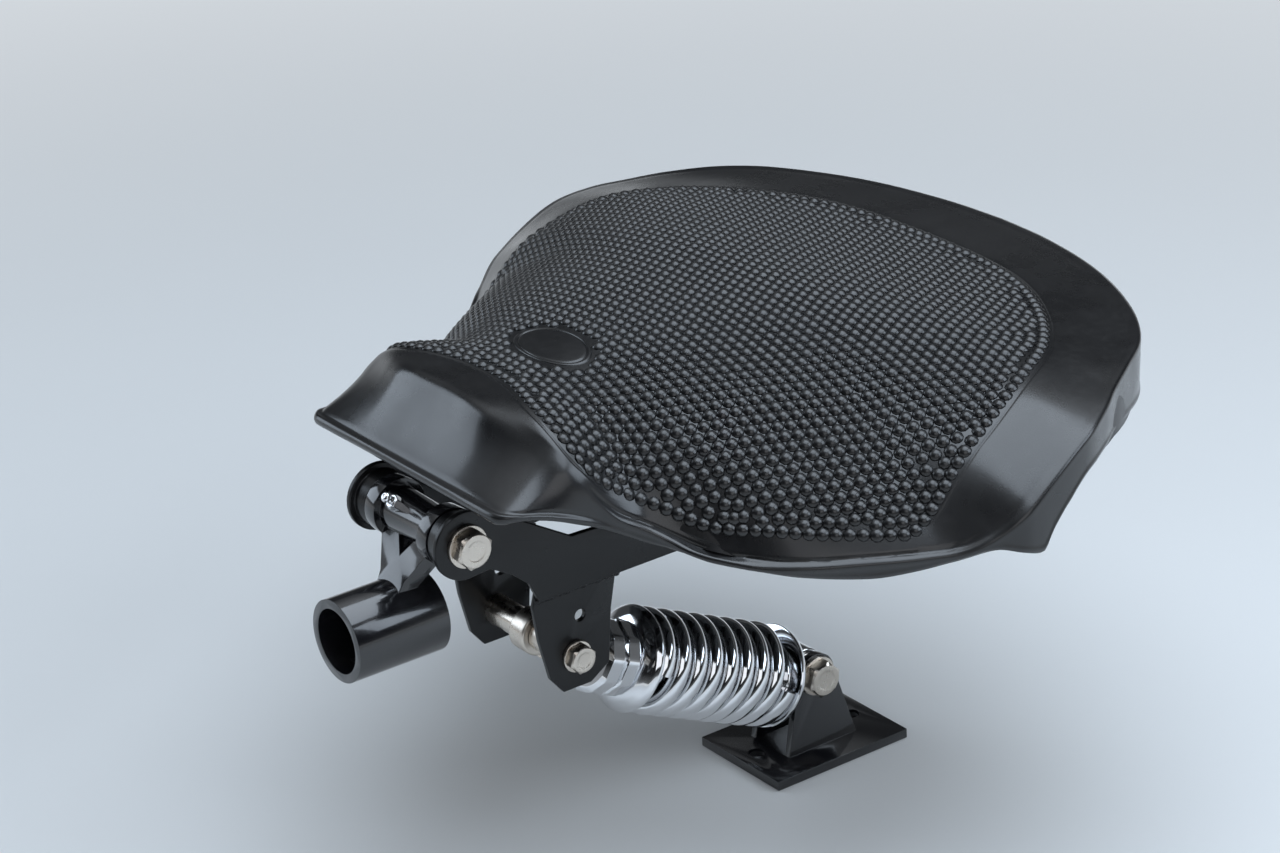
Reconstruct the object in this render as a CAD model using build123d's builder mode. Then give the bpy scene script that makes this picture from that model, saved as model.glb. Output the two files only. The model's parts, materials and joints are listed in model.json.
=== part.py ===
from build123d import *
import os
from math import sqrt, hypot, cos, sin, radians

# Sprung motorcycle saddle: a moulded rubber cover on a steel pan, two side plates that swing on a
# bolt through the frame's nose lug, and one coil spring under the nose that holds the rear up.
# Millimetres. +Z is up, +X is to the rear, -Y is the left side. The origin is the middle of the
# socket that takes the frame tube.

# Frame lug and main pivot
tube_r = 16.0  # frame tube, outside
socket_wall = 4.5
socket_len = 50.0
pivot_x = 26.0  # pivot axis from the middle of the socket
pivot_z = 46.0
barrel_r = 11.0
barrel_half = 26.0
collar_r = 14.5
collar_len = 8.0
web_thick = 9.0
web_fork_half, web_waist_half, web_foot_half = 13.0, 10.0, 9.0  # half widths down the web
web_fork_at, web_waist_at = 0.36, 0.55  # of the way from the pivot to the socket
nipple_y = 6.0
nipple_seat = 0.7  # of the barrel's radius, forward and up
nipple_sizes = [(3.5, 5.0, 6), (2.0, 3.0, 24), (3.0, 2.5, 24)]  # radius, length, sides
pivot_bolt_r = 5.0
running_gap = 0.06
side_gap = 0.5

# Side plates of the saddle frame
plate_thick = 3.0
plate_inside = 35.0  # inner face from the middle plane
boss_r = 14.0
plate_nose_r = 17.0
cross_x, cross_z = 100.0, -26.0  # cross tube, from the pivot
cross_r, cross_bore = 9.0, 7.0
rail_low = -42.0  # lower edge of the side plate, from the pivot
hole_gap = 0.25  # around the bolts, on the radius
thread_gap = 0.05

plate_outline = [(0, plate_nose_r), (24, 7), (58, -14), (84, -15), (112, 70), (240, 70), (262, 12), (228, -8),
                 (140, rail_low), (38, rail_low), (33, -31), (24, -23), (12, -16), (0, -plate_nose_r)]
lug_outline = [(40, -32), (36, -46), (38, -64), (43, -86), (50, -95), (66, -95), (77, -88), (80, -60), (86, -32)]
lug_hole = (62, -58)
lug_hole_r = 3.0

# Lever lugs and spring, places from the pivot
lever_x = 58.0
lever_z = -78.0
anchor_x = 216.0
anchor_z = -152.0
eye_offset = 8.0  # the spring's axis runs this far below its two pins
lever_bolt_r = 4.0
lever_eye_gap = 0.6
coil_r = 22.5  # middle of the wire
wire_r = 4.5
coil_turns = 8.0
coil_start = 18.0  # from the rear pin, along the spring
coil_len = 93.0
seat_gap = 0.3
cup_len = 7.0
plug_len = 18.0  # of the plug and the cup inside the coil
plug_gap = 0.5
flange_len = 4.0
nut_af = 38.0
nut_sides = 10
nut_len = 10.0
rod_r = 5.0
eye_r = 11.0
rear_eye_half = 7.0
plug_neck_r = 6.5
lever_eye_half = 6.0

# Rubber cover and pan
rubber_thick = 5.0
pan_thick = 2.0
pan_clear = 20.0  # nothing of the pan's middle lies lower, from the pivot
pan_front = 24.0  # front edge of the pan, from the pivot
rib_thick = 3.0
rib_len = 28.0
rib_half = 140.0
ribs = [("rib_front", 150.0), ("rib_rear", 222.0)]  # name, middle from the pivot
floor_z = -60.0  # well under the hem
edge_over = 14.0  # the arched sections reach this far past the plan outline
arc_part = 0.97  # and at most this share of their radius
reach = 500.0  # more than any size of the part, for the blocks that cut it

# Hexagon bolts and washers
m10_af, m10_head, m10_nut, m10_washer_r = 17.0, 6.4, 8.0, 10.5
m8_af, m8_head, m8_nut, m8_washer_r = 13.0, 5.3, 6.5, 8.0
washer_thick = 2.0
head_chamfer = 0.8
bolt_past_nut = 3.0
lever_spacer_r, anchor_spacer_r = 7.5, 8.5

# Rear anchor on the frame
anchor_inside = 12.0
anchor_plate = 4.0
anchor_r = 11.5
foot_drop = 46.0  # underside of the foot below the pin
foot_len = 84.0
foot_thick = 5.0
foot_half = 32.0
foot_shift = 3.0  # middle of the foot behind the pin
foot_hole_r = 4.5
foot_front, foot_rear = 20.0, 26.0  # the ears' feet, before and behind the pin
foot_pitch = 62.0

# Arched sections of the top: from the pivot, crown height, half width, drop at that width
sections = [
    # x, crown, half, drop
    (15.0, 63.0, 58.0, 30.0),
    (35.0, 63.5, 60.0, 36.0),
    (62.0, 63.5, 98.0, 52.0),
    (105.0, 67.5, 152.0, 69.5),
    (155.0, 72.0, 190.0, 71.0),
    (190.0, 73.5, 212.0, 52.5),
    (225.0, 70.0, 208.0, 28.5),
    (260.0, 64.0, 189.0, 13.5),
    (300.0, 58.0, 162.0, 4.0),
    (335.0, 55.5, 162.0, 3.0),
    (370.0, 53.0, 162.0, 2.5),
]
apron_x = -9.0  # lower edge of the nose apron, from the pivot
apron_z = 29.0
apron_half = 78.0
apron_sag = 2.0
apron_low = 19.0  # lower ends of the apron's side walls
# Half of the plan outline behind the nose: x from the pivot and distance from the middle plane
neck_x, neck_half = 34.0, 62.0
front_point = (60.0, 96.0)
wide_point = (182.5, 210.5)
corner_point = (207.0, 214.0)
tail_point = (343.0, 97.0)
rear_point = (361.0, 0.0)
neck_angle = 43.9  # of the outline as it leaves the neck, from the middle plane
# Lower edge of the cover seen from the side, from the pivot
hem = [(-25, 19), (34, 19), (62, 3), (105, -11), (130, -10), (155, -8), (175, 1),
       (188, -6), (225, 17), (260, 20), (300, 17), (380, 14)]


def spot(dx, dz, y=0.0):
    """A point given from the pivot, in the part's frame."""
    return (pivot_x + dx, y, pivot_z + dz)


def side(dx, dz):
    """The same in the plane of a side view."""
    return (pivot_x + dx, pivot_z + dz)


def plan(point):
    """A point of the plan outline in the part's frame."""
    return (pivot_x + point[0], point[1])


def arch_radius(half, sag):
    """Radius of the arc that falls by sag over half its width."""
    return (half**2 + sag**2) / (2 * sag)


def arch_height(crown, radius, wide):
    """Height of an arched section at a distance from the middle plane."""
    return pivot_z + crown - radius + sqrt(radius**2 - wide**2)


def cover_block(drop, inset):
    """The solid under the saddle's top, lowered by drop, inside the plan outline less inset."""
    with BuildPart() as block:
        for x, crown, half, sag in sections:
            radius = arch_radius(half, sag) - drop
            wide = min(half + edge_over, arc_part * radius)
            low = arch_height(crown - drop, radius, wide)
            with BuildSketch(Plane.YZ.offset(pivot_x + x)):
                with BuildLine():
                    ThreePointArc((-wide, low), (0, pivot_z + crown - drop), (wide, low))
                    Polyline((wide, low), (wide, floor_z), (-wide, floor_z), (-wide, low))
                make_face()
        loft()
        with BuildSketch(Plane.XY.offset(floor_z)):
            with BuildLine():
                nose = Line((pivot_x + apron_x, neck_half), plan((neck_x, neck_half)))
                leave = (cos(radians(neck_angle)), sin(radians(neck_angle)))
                neck = TangentArc(nose @ 1, plan(front_point), tangent=leave)
                wing = TangentArc(neck @ 1, plan(wide_point), tangent=neck % 1)
                corner = TangentArc(wing @ 1, plan(corner_point), tangent=wing % 1)
                flank = TangentArc(corner @ 1, plan(tail_point), tangent=corner % 1)
                TangentArc(flank @ 1, plan(rear_point), tangent=flank % 1)
                Polyline(plan(rear_point), (pivot_x + apron_x, 0), nose @ 0)
            make_face()
            mirror(about=Plane.XZ)
            if inset:
                offset(amount=-inset, kind=Kind.INTERSECTION)
        extrude(amount=reach, mode=Mode.INTERSECT)
    return block.part


def above_hem(rise, front=-reach):
    """All that lies above the cover's lower edge, raised by rise, and behind front."""
    with BuildPart() as upper:
        with BuildSketch(Plane.XZ):
            with BuildLine():
                edge = [side(x, z + rise) for x, z in hem]
                Polyline(*edge, (edge[-1][0], reach), (edge[0][0], reach), close=True)
            make_face()
            with BuildLine():
                Polyline(side(front, -reach), side(front, reach), side(reach, reach), side(reach, -reach), close=True)
            make_face(mode=Mode.INTERSECT)
        extrude(amount=reach, both=True)
    return upper.part


def hex_head(radius, flats, height, length, head_at, plane):
    """A hexagon head bolt whose head starts at head_at along the plane's normal."""
    with BuildPart() as bolt:
        with BuildSketch(plane.offset(head_at)):
            RegularPolygon(radius=flats / 2, side_count=6, major_radius=False)
        extrude(amount=height)
        chamfer(bolt.faces().sort_by(Axis.Y)[0].edges(), length=head_chamfer)
        with BuildSketch(plane.offset(head_at)):
            Circle(radius)
        extrude(amount=-length)
    return bolt.part


def washer_pair(outer, inner, starts, plane):
    """Washers that start at the given places along the plane's normal."""
    with BuildPart() as pair:
        for start in starts:
            with BuildSketch(plane.offset(start)):
                Circle(outer)
                Circle(inner, mode=Mode.SUBTRACT)
            extrude(amount=washer_thick)
    return pair.part


def hex_nut(inner, flats, height, start, plane):
    """A hexagon nut that starts at a place along the plane's normal."""
    with BuildPart() as nut:
        with BuildSketch(plane.offset(start)):
            RegularPolygon(radius=flats / 2, side_count=6, major_radius=False)
            Circle(inner, mode=Mode.SUBTRACT)
        extrude(amount=height)
    return nut.part


def spacer_pair(outer, inner, near, far, plane):
    """Two tubes, one each side of the middle plane, from near to far."""
    with BuildPart() as pair:
        for start in (near, -far):
            with BuildSketch(plane.offset(start)):
                Circle(outer)
                Circle(inner, mode=Mode.SUBTRACT)
            extrude(amount=far - near)
    return pair.part


os.makedirs("parts", exist_ok=True)
# Planes across the three pins: the normal points to the left
pivot_plane = Plane(origin=spot(0, 0), x_dir=(1, 0, 0), z_dir=(0, -1, 0))
lever_plane = Plane(origin=spot(lever_x, lever_z), x_dir=(1, 0, 0), z_dir=(0, -1, 0))
anchor_plane = Plane(origin=spot(anchor_x, anchor_z), x_dir=(1, 0, 0), z_dir=(0, -1, 0))
plate_outside = plate_inside + plate_thick

# Rubber cover: the arched shell and the flared apron across its nose
crease_x, crease_top, crease_half, crease_sag = sections[0]
apron_ends = [
    # x, crown, radius, half width
    (crease_x, crease_top, arch_radius(crease_half, crease_sag), neck_half),
    (apron_x, apron_z, arch_radius(apron_half, apron_sag), apron_half),
]
with BuildPart() as cover:
    add(cover_block(0.0, 0.0))
    add(cover_block(rubber_thick, rubber_thick), mode=Mode.SUBTRACT)
    add(above_hem(0.0), mode=Mode.INTERSECT)
    for x, crown, radius, half in apron_ends:
        low, inner = pivot_z + apron_low, half - rubber_thick
        edge = arch_height(crown, radius, half)
        under = arch_height(crown - rubber_thick, radius - rubber_thick, inner)
        with BuildSketch(Plane.YZ.offset(pivot_x + x)):
            with BuildLine():
                ThreePointArc((-half, edge), (0, pivot_z + crown), (half, edge))
                Polyline((half, edge), (half, low), (inner, low), (inner, under))
                ThreePointArc((inner, under), (0, pivot_z + crown - rubber_thick), (-inner, under))
                Polyline((-inner, under), (-inner, low), (-half, low), (-half, edge))
            make_face()
    loft(ruled=True)
cover.part.label = "saddle_cover"
export_step(cover.part, "parts/saddle_cover.step")

# Steel pan under the rubber
pan_drop = rubber_thick + seat_gap
pan_under = pan_drop + pan_thick
with BuildPart() as pan:
    add(cover_block(pan_drop, pan_drop))
    add(cover_block(pan_under, pan_under), mode=Mode.SUBTRACT)
    add(above_hem(5.0, pan_front), mode=Mode.INTERSECT)
pan.part.label = "saddle_pan"
export_step(pan.part, "parts/saddle_pan.step")

# Side plates, cut to the underside of the pan
with BuildPart() as over_pan:
    with BuildSketch(Plane.XY.offset(pivot_z + pan_clear)):
        with Locations((pivot_x + crease_x + reach / 2, 0)):
            Rectangle(reach, reach)
    extrude(amount=reach)
    add(cover_block(pan_under + seat_gap, pan_under + seat_gap), mode=Mode.SUBTRACT)
for name, start in (("side_plate_left", plate_inside), ("side_plate_right", -plate_outside)):
    with BuildPart() as plate:
        with BuildSketch(Plane.XZ.offset(start)):
            with BuildLine():
                Polyline([side(x, z) for x, z in plate_outline], close=True)
            make_face()
            with Locations(side(0, 0)):
                Circle(plate_nose_r)
                Circle(pivot_bolt_r + hole_gap, mode=Mode.SUBTRACT)
        extrude(amount=plate_thick)
        add(over_pan.part, mode=Mode.SUBTRACT)
        boss_start = barrel_half + side_gap
        tube_from = boss_start if start > 0 else -plate_inside
        with BuildSketch(Plane.XZ.offset(tube_from)):
            with Locations(side(0, 0)):
                Circle(boss_r)
                Circle(pivot_bolt_r + hole_gap, mode=Mode.SUBTRACT)
        extrude(amount=plate_inside - boss_start)
    plate.part.label = name
    export_step(plate.part, f"parts/{name}.step")

# Lever lugs, lapped and welded inside the side plates
for name, start in (("lever_lug_left", plate_inside - plate_thick), ("lever_lug_right", -plate_inside)):
    with BuildPart() as lug:
        with BuildSketch(Plane.XZ.offset(start)):
            with BuildLine():
                Polyline([side(x, z) for x, z in lug_outline], close=True)
            make_face()
            with Locations(side(lever_x, lever_z)):
                Circle(lever_bolt_r + hole_gap, mode=Mode.SUBTRACT)
            with Locations(side(*lug_hole)):
                Circle(lug_hole_r, mode=Mode.SUBTRACT)
        extrude(amount=plate_thick)
    lug.part.label = name
    export_step(lug.part, f"parts/{name}.step")

# Cross tube between the side plates and pressed ribs under the wings
with BuildPart() as cross_tube:
    with BuildSketch(Plane.XZ.offset(-plate_inside)):
        with Locations(side(cross_x, cross_z)):
            Circle(cross_r)
            Circle(cross_bore, mode=Mode.SUBTRACT)
    extrude(amount=2 * plate_inside)
cross_tube.part.label = "cross_tube"
export_step(cross_tube.part, "parts/cross_tube.step")

rib_top = pan_under + seat_gap
rib_outer = cover_block(rib_top, rib_top)
rib_inner = cover_block(rib_top + rib_thick, rib_top)
for name, at in ribs:
    with BuildPart() as rib:
        with BuildSketch(Plane.XY):
            with Locations((pivot_x + at, 0)):
                Rectangle(rib_len, 2 * rib_half)
                Rectangle(rib_len, 2 * (plate_outside + seat_gap), mode=Mode.SUBTRACT)
                Rectangle(rib_len, 2 * (plate_inside - seat_gap))
        extrude(amount=reach)
        add(rib_outer, mode=Mode.INTERSECT)
        add(rib_inner, mode=Mode.SUBTRACT)
    rib.part.label = name
    export_step(rib.part, f"parts/{name}.step")

# Pivot bolt, washers and nut
pivot_head_at = plate_outside + washer_thick
pivot_len = 2 * pivot_head_at + m10_nut + bolt_past_nut
pivot_bolt = hex_head(pivot_bolt_r, m10_af, m10_head, pivot_len, pivot_head_at, pivot_plane)
pivot_washers = washer_pair(m10_washer_r, pivot_bolt_r + hole_gap, (plate_outside, -pivot_head_at), pivot_plane)
pivot_nut = hex_nut(pivot_bolt_r + thread_gap, m10_af, m10_nut, -pivot_head_at - m10_nut, pivot_plane)

# Lever bolt with its washers, nut and spacer tubes
lever_head_at = plate_inside + washer_thick
lever_len = 2 * lever_head_at + m8_nut + bolt_past_nut
lever_bolt = hex_head(lever_bolt_r, m8_af, m8_head, lever_len, lever_head_at, lever_plane)
lever_washers = washer_pair(m8_washer_r, lever_bolt_r + hole_gap, (plate_inside, -lever_head_at), lever_plane)
lever_nut = hex_nut(lever_bolt_r + thread_gap, m8_af, m8_nut, -lever_head_at - m8_nut, lever_plane)
lever_spacers = spacer_pair(lever_spacer_r, lever_bolt_r + hole_gap, lever_eye_half + side_gap,
                            plate_inside - plate_thick, lever_plane)

# Rear anchor bolt with its washers, nut and spacer tubes
anchor_outside = anchor_inside + anchor_plate
anchor_head_at = anchor_outside + washer_thick
anchor_len = 2 * anchor_head_at + m10_nut + bolt_past_nut
anchor_bolt = hex_head(pivot_bolt_r, m10_af, m10_head, anchor_len, anchor_head_at, anchor_plane)
anchor_washers = washer_pair(m10_washer_r, pivot_bolt_r + hole_gap, (anchor_outside, -anchor_head_at), anchor_plane)
anchor_nut = hex_nut(pivot_bolt_r + thread_gap, m10_af, m10_nut, -anchor_head_at - m10_nut, anchor_plane)
anchor_spacers = spacer_pair(anchor_spacer_r, pivot_bolt_r + hole_gap, rear_eye_half + side_gap, anchor_inside,
                             anchor_plane)

fasteners = [("pivot_bolt", pivot_bolt), ("pivot_washers", pivot_washers), ("pivot_nut", pivot_nut),
             ("lever_bolt", lever_bolt), ("lever_washers", lever_washers), ("lever_nut", lever_nut),
             ("lever_spacers", lever_spacers), ("anchor_bolt", anchor_bolt),
             ("anchor_washers", anchor_washers), ("anchor_nut", anchor_nut), ("anchor_spacers", anchor_spacers)]
for name, solid in fasteners:
    solid.label = name
    export_step(solid, f"parts/{name}.step")

# Frame lug: a barrel on a forked web over the tube socket
socket_r = tube_r + socket_wall
web_run = hypot(pivot_x, pivot_z)
web_plane = Plane(origin=spot(0, 0), x_dir=(0, 1, 0), z_dir=(-pivot_z, 0, pivot_x))
with BuildPart() as frame_lug:
    with BuildSketch(web_plane.offset(-web_thick / 2)):
        with BuildLine():
            edge = [(barrel_half, 0), (web_waist_half, web_run * web_waist_at), (web_foot_half, web_run - tube_r)]
            Polyline(*[(-across, down) for across, down in edge], *reversed(edge),
                     (web_fork_half, 0), (0, web_run * web_fork_at), (-web_fork_half, 0), close=True)
        make_face()
    extrude(amount=web_thick)
    with BuildSketch(Plane.YZ.offset(-socket_len / 2)):
        Circle(socket_r)
    extrude(amount=socket_len)
    with BuildSketch(Plane.YZ.offset(-socket_len / 2)):
        Circle(tube_r)
    extrude(amount=socket_len, mode=Mode.SUBTRACT)
    with BuildSketch(pivot_plane.offset(-barrel_half)):
        Circle(barrel_r)
    extrude(amount=2 * barrel_half)
    for start in (-barrel_half, barrel_half - collar_len):
        with BuildSketch(pivot_plane.offset(start)):
            Circle(collar_r)
        extrude(amount=collar_len)
    with BuildSketch(pivot_plane.offset(-barrel_half)):
        Circle(pivot_bolt_r + running_gap)
    extrude(amount=2 * barrel_half, mode=Mode.SUBTRACT)
frame_lug.part.label = "frame_lug"
export_step(frame_lug.part, "parts/frame_lug.step")

# Grease nipple on the barrel
seat = barrel_r * nipple_seat
nipple_plane = Plane(origin=spot(-seat, seat, nipple_y), x_dir=(0, 1, 0), z_dir=(-1, 0, 1))
with BuildPart() as grease_nipple:
    start = 0.0
    for radius, length, sides in nipple_sizes:
        with BuildSketch(nipple_plane.offset(start)):
            RegularPolygon(radius=radius, side_count=sides)
        extrude(amount=length)
        start += length
    add(frame_lug.part, mode=Mode.SUBTRACT)
grease_nipple.part.label = "grease_nipple"
export_step(grease_nipple.part, "parts/grease_nipple.step")

# Rear anchor: two ears on a foot
with BuildPart() as rear_anchor:
    for start in (anchor_inside, -anchor_outside):
        with BuildSketch(Plane.XZ.offset(start)):
            with BuildLine():
                low = anchor_z - foot_drop
                Polyline(side(anchor_x - anchor_r, anchor_z), side(anchor_x - foot_front, low),
                         side(anchor_x + foot_rear, low), side(anchor_x + anchor_r, anchor_z), close=True)
            make_face()
            with Locations(side(anchor_x, anchor_z)):
                Circle(anchor_r)
                Circle(pivot_bolt_r + hole_gap, mode=Mode.SUBTRACT)
        extrude(amount=anchor_plate)
    with BuildSketch(Plane.XY.offset(pivot_z + anchor_z - foot_drop)):
        with Locations((pivot_x + anchor_x + foot_shift, 0)):
            Rectangle(foot_len, 2 * foot_half)
            with GridLocations(foot_pitch, 0, 2, 1):
                Circle(foot_hole_r, mode=Mode.SUBTRACT)
    extrude(amount=foot_thick)
rear_anchor.part.label = "rear_anchor"
export_step(rear_anchor.part, "parts/rear_anchor.step")

# Spring unit: places are measured along the spring from the rear pin
run_x = lever_x - anchor_x
run_z = lever_z - anchor_z
pin_run = hypot(run_x, run_z)
along = (run_x / pin_run, 0, run_z / pin_run)
upward = (run_z / pin_run, 0, -run_x / pin_run)
axis_start = (pivot_x + anchor_x - eye_offset * upward[0], 0, pivot_z + anchor_z - eye_offset * upward[2])
spring_plane = Plane(origin=axis_start, x_dir=(0, 1, 0), z_dir=along)
coil_inner_r = coil_r - wire_r
coil_end = coil_start + coil_len

coil_rise = coil_len - 2 * wire_r - 2 * seat_gap
with BuildPart() as spring_coil:
    with BuildLine():
        turns = Helix(pitch=coil_rise / coil_turns, height=coil_rise, radius=coil_r,
                      center=spring_plane.offset(coil_start + wire_r + seat_gap).origin, direction=along)
    with BuildSketch(Plane(origin=turns @ 0, z_dir=turns % 0)):
        Circle(wire_r)
    sweep()
spring_coil.part.label = "spring_coil"
export_step(spring_coil.part, "parts/spring_coil.step")

with BuildPart() as rear_plug:
    with BuildSketch(anchor_plane.offset(-rear_eye_half)):
        Circle(eye_r)
    extrude(amount=2 * rear_eye_half)
    with BuildSketch(spring_plane):
        Circle(plug_neck_r)
    extrude(amount=coil_start)
    with BuildSketch(spring_plane.offset(coil_start - flange_len)):
        Circle(coil_r + wire_r)
    extrude(amount=flange_len)
    with BuildSketch(spring_plane.offset(coil_start)):
        Circle(coil_inner_r - plug_gap)
    extrude(amount=plug_len)
    with BuildSketch(anchor_plane.offset(-rear_eye_half)):
        Circle(pivot_bolt_r + running_gap)
    extrude(amount=2 * rear_eye_half, mode=Mode.SUBTRACT)
rear_plug.part.label = "rear_plug"
export_step(rear_plug.part, "parts/rear_plug.step")

with BuildPart() as front_cup:
    with BuildSketch(spring_plane.offset(coil_end)):
        Circle(coil_r + wire_r)
    extrude(amount=cup_len)
    with BuildSketch(spring_plane.offset(coil_end - plug_len)):
        Circle(coil_inner_r - plug_gap)
    extrude(amount=plug_len)
    with BuildSketch(spring_plane.offset(coil_end - plug_len)):
        Circle(rod_r + thread_gap)
    extrude(amount=plug_len + cup_len, mode=Mode.SUBTRACT)
front_cup.part.label = "front_cup"
export_step(front_cup.part, "parts/front_cup.step")

nut_start = coil_end + cup_len
for name, start in (("lock_nut", nut_start), ("adjusting_nut", nut_start + nut_len)):
    with BuildPart() as nut:
        with BuildSketch(spring_plane.offset(start)):
            RegularPolygon(radius=nut_af / 2, side_count=nut_sides, major_radius=False)
            Circle(rod_r + thread_gap, mode=Mode.SUBTRACT)
        extrude(amount=nut_len)
    nut.part.label = name
    export_step(nut.part, f"parts/{name}.step")

with BuildPart() as tension_rod:
    with BuildSketch(spring_plane.offset(coil_end - plug_len)):
        Circle(rod_r)
    extrude(amount=pin_run - coil_end + plug_len)
    with BuildSketch(lever_plane.offset(-lever_eye_half)):
        Circle(eye_r)
    extrude(amount=2 * lever_eye_half)
    with BuildSketch(lever_plane.offset(-lever_eye_half)):
        Circle(lever_bolt_r + lever_eye_gap)
    extrude(amount=2 * lever_eye_half, mode=Mode.SUBTRACT)
tension_rod.part.label = "tension_rod"
export_step(tension_rod.part, "parts/tension_rod.step")
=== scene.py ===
import json
from math import cos, pi, radians, sin

import bmesh
import bpy
import numpy as np
from mathutils import Matrix, Vector
from mathutils.kdtree import KDTree


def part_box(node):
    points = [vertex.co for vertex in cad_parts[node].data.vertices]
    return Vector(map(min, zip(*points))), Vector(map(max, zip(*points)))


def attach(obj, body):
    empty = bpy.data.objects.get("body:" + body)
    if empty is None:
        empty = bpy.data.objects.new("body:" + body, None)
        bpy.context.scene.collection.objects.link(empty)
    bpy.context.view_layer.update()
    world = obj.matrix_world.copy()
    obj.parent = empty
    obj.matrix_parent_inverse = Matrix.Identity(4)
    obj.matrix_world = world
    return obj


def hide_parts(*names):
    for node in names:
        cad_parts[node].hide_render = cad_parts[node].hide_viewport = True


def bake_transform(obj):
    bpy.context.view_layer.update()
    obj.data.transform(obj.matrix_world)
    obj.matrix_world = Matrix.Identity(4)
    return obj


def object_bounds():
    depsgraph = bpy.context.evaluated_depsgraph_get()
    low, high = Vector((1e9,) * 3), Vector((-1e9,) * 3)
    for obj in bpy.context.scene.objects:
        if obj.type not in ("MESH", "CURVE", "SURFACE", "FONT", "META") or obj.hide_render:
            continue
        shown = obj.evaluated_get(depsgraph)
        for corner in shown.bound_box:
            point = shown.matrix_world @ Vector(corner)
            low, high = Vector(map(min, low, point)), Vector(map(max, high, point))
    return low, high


bl_info = {
    "name": "Sprung motorcycle saddle",
    "version": (1, 0, 0),
    "blender": (4, 5, 0),
    "location": "3D View > Sidebar > Saddle",
    "description": "Dresses a rubber saddle on its hinge and spring around the packed solids",
    "category": "Object",
}

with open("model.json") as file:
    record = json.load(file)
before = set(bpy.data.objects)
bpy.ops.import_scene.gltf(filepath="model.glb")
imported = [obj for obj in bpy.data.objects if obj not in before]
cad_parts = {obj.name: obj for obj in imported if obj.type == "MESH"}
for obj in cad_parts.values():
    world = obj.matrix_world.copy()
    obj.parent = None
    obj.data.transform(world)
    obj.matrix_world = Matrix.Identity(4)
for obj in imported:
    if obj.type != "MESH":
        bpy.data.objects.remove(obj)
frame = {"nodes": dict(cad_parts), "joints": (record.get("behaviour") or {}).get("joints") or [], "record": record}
CAD_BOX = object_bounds()
JOINTS = {joint["name"]: joint for joint in frame["joints"]}
PIVOT = Vector(JOINTS["saddle_swing"]["pos_m"])
REAR_PIN = Vector(JOINTS["spring_tilt"]["pos_m"])
MM = 0.001
LEFT = Vector((0, -1, 0))

# The cover, in millimetres from the pivot, one half of it: +x to the rear, y from the middle plane
TOP = [
    # x, crown, half width, drop at that width, how flat the middle is
    (15, 63.3, 84, 21, 5),
    (35, 63.4, 87, 26, 5),
    (47, 63.4, 90, 40, 4.2),
    (62, 63.1, 97.7, 52.4, 3),
    (105, 67.4, 152.2, 69.8, 2.62),
    (155, 71.4, 189.9, 71.4, 2.66),
    (190, 72.6, 211.7, 53.1, 2.70),
    (225, 69.3, 208.2, 28.6, 2.72),
    (260, 63.1, 189.3, 13.7, 2.74),
    (300, 57.4, 162.8, 4.1, 2.77),
    (357, 53.1, 162.8, -5.8, 2.80),
]
RIM = [
    # x, y, z of the crease or the lip, then x, y of the nubs' border abreast of it
    (17.6, 0, 63.2, 40.3, 0),
    (17.2, 12, 63.2, 39.8, 12),
    (16.8, 22, 63.1, 38.2, 23),
    (17, 32.5, 62.2, 35.8, 33),
    (19.6, 47, 59, 32.4, 46.5),
    (22, 57, 55.6, 31.2, 56.5),
    (24.2, 67, 51.8, 31, 65.5),
    (25.8, 76, 48.3, 31.8, 74),
    (28.6, 83, 43.4, 33.8, 80.2),
    (32.6, 87, 35.6, 37.4, 84),
    (37, 88.2, 29, 41.4, 85.6),
    (41.5, 88.7, 24.5, 45.6, 86.4),
    (46.5, 89.7, 20.2, 50.4, 87.6),
    (53, 92.2, 15.6, 56.6, 90),
    (62, 98.4, 10.9, 65.2, 96),
    (80, 123.5, 1.9, 83.4, 120.4),
    (105, 152, -2.4, 108, 148.4),
    (130, 172.7, -1.3, 132.2, 169.4),
    (143, 182, -0.8, 144.6, 178.9),
    (146.5, 184.3, -0.6, 147.6, 181),
    (151, 187.4, -0.2, 150.6, 181.3),
    (158, 192.4, 0.9, 155.6, 181.3),
    (175, 205.6, 8.5, 168, 181),
    (190, 211.7, 19.5, 181, 179.8),
    (205, 210.9, 30, 195, 177.3),
    (225, 208, 40.7, 211, 173),
    (245, 199, 46.8, 228, 166.5),
    (260, 189, 49.5, 241, 160),
    (280, 176.7, 52.2, 255, 151.5),
    (300, 162.8, 53.4, 268, 140),
    (320, 137, 54.4, 283, 121.5),
    (340, 95, 54.4, 299.5, 92),
    (351, 58, 53.7, 308.8, 64),
    (356.5, 25, 53.2, 313, 32),
    (358, 0, 53, 314, 0),
]
APRON = [
    # x, y, z of the apron's lower edge, for the first rows of RIM
    (-9, 0, 30),
    (-9, 13, 30),
    (-9, 25, 30),
    (-9, 37, 30),
    (-9, 52, 30),
    (-8.8, 64, 30),
    (-8.2, 74.5, 29.8),
    (-3.5, 81, 29.2),
    (9, 84.5, 26.8),
    (22, 87, 22.5),
    (31.5, 88.5, 18),
    (39, 89.5, 13.5),
]
HEM = [
    # x of the lip, z of its lower edge
    (38, 16),
    (46, 11),
    (53, 7),
    (62, 2.5),
    (82, -4),
    (105, -9.5),
    (128, -10.8),
    (145, -8.5),
    (160, -4.5),
    (175, 0.5),
    (186, -2.5),
    (196.5, -5.4),
    (203, 3),
    (212, 12),
    (230, 24),
    (255, 27),
    (295, 24.5),
    (358, 24),
]
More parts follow.
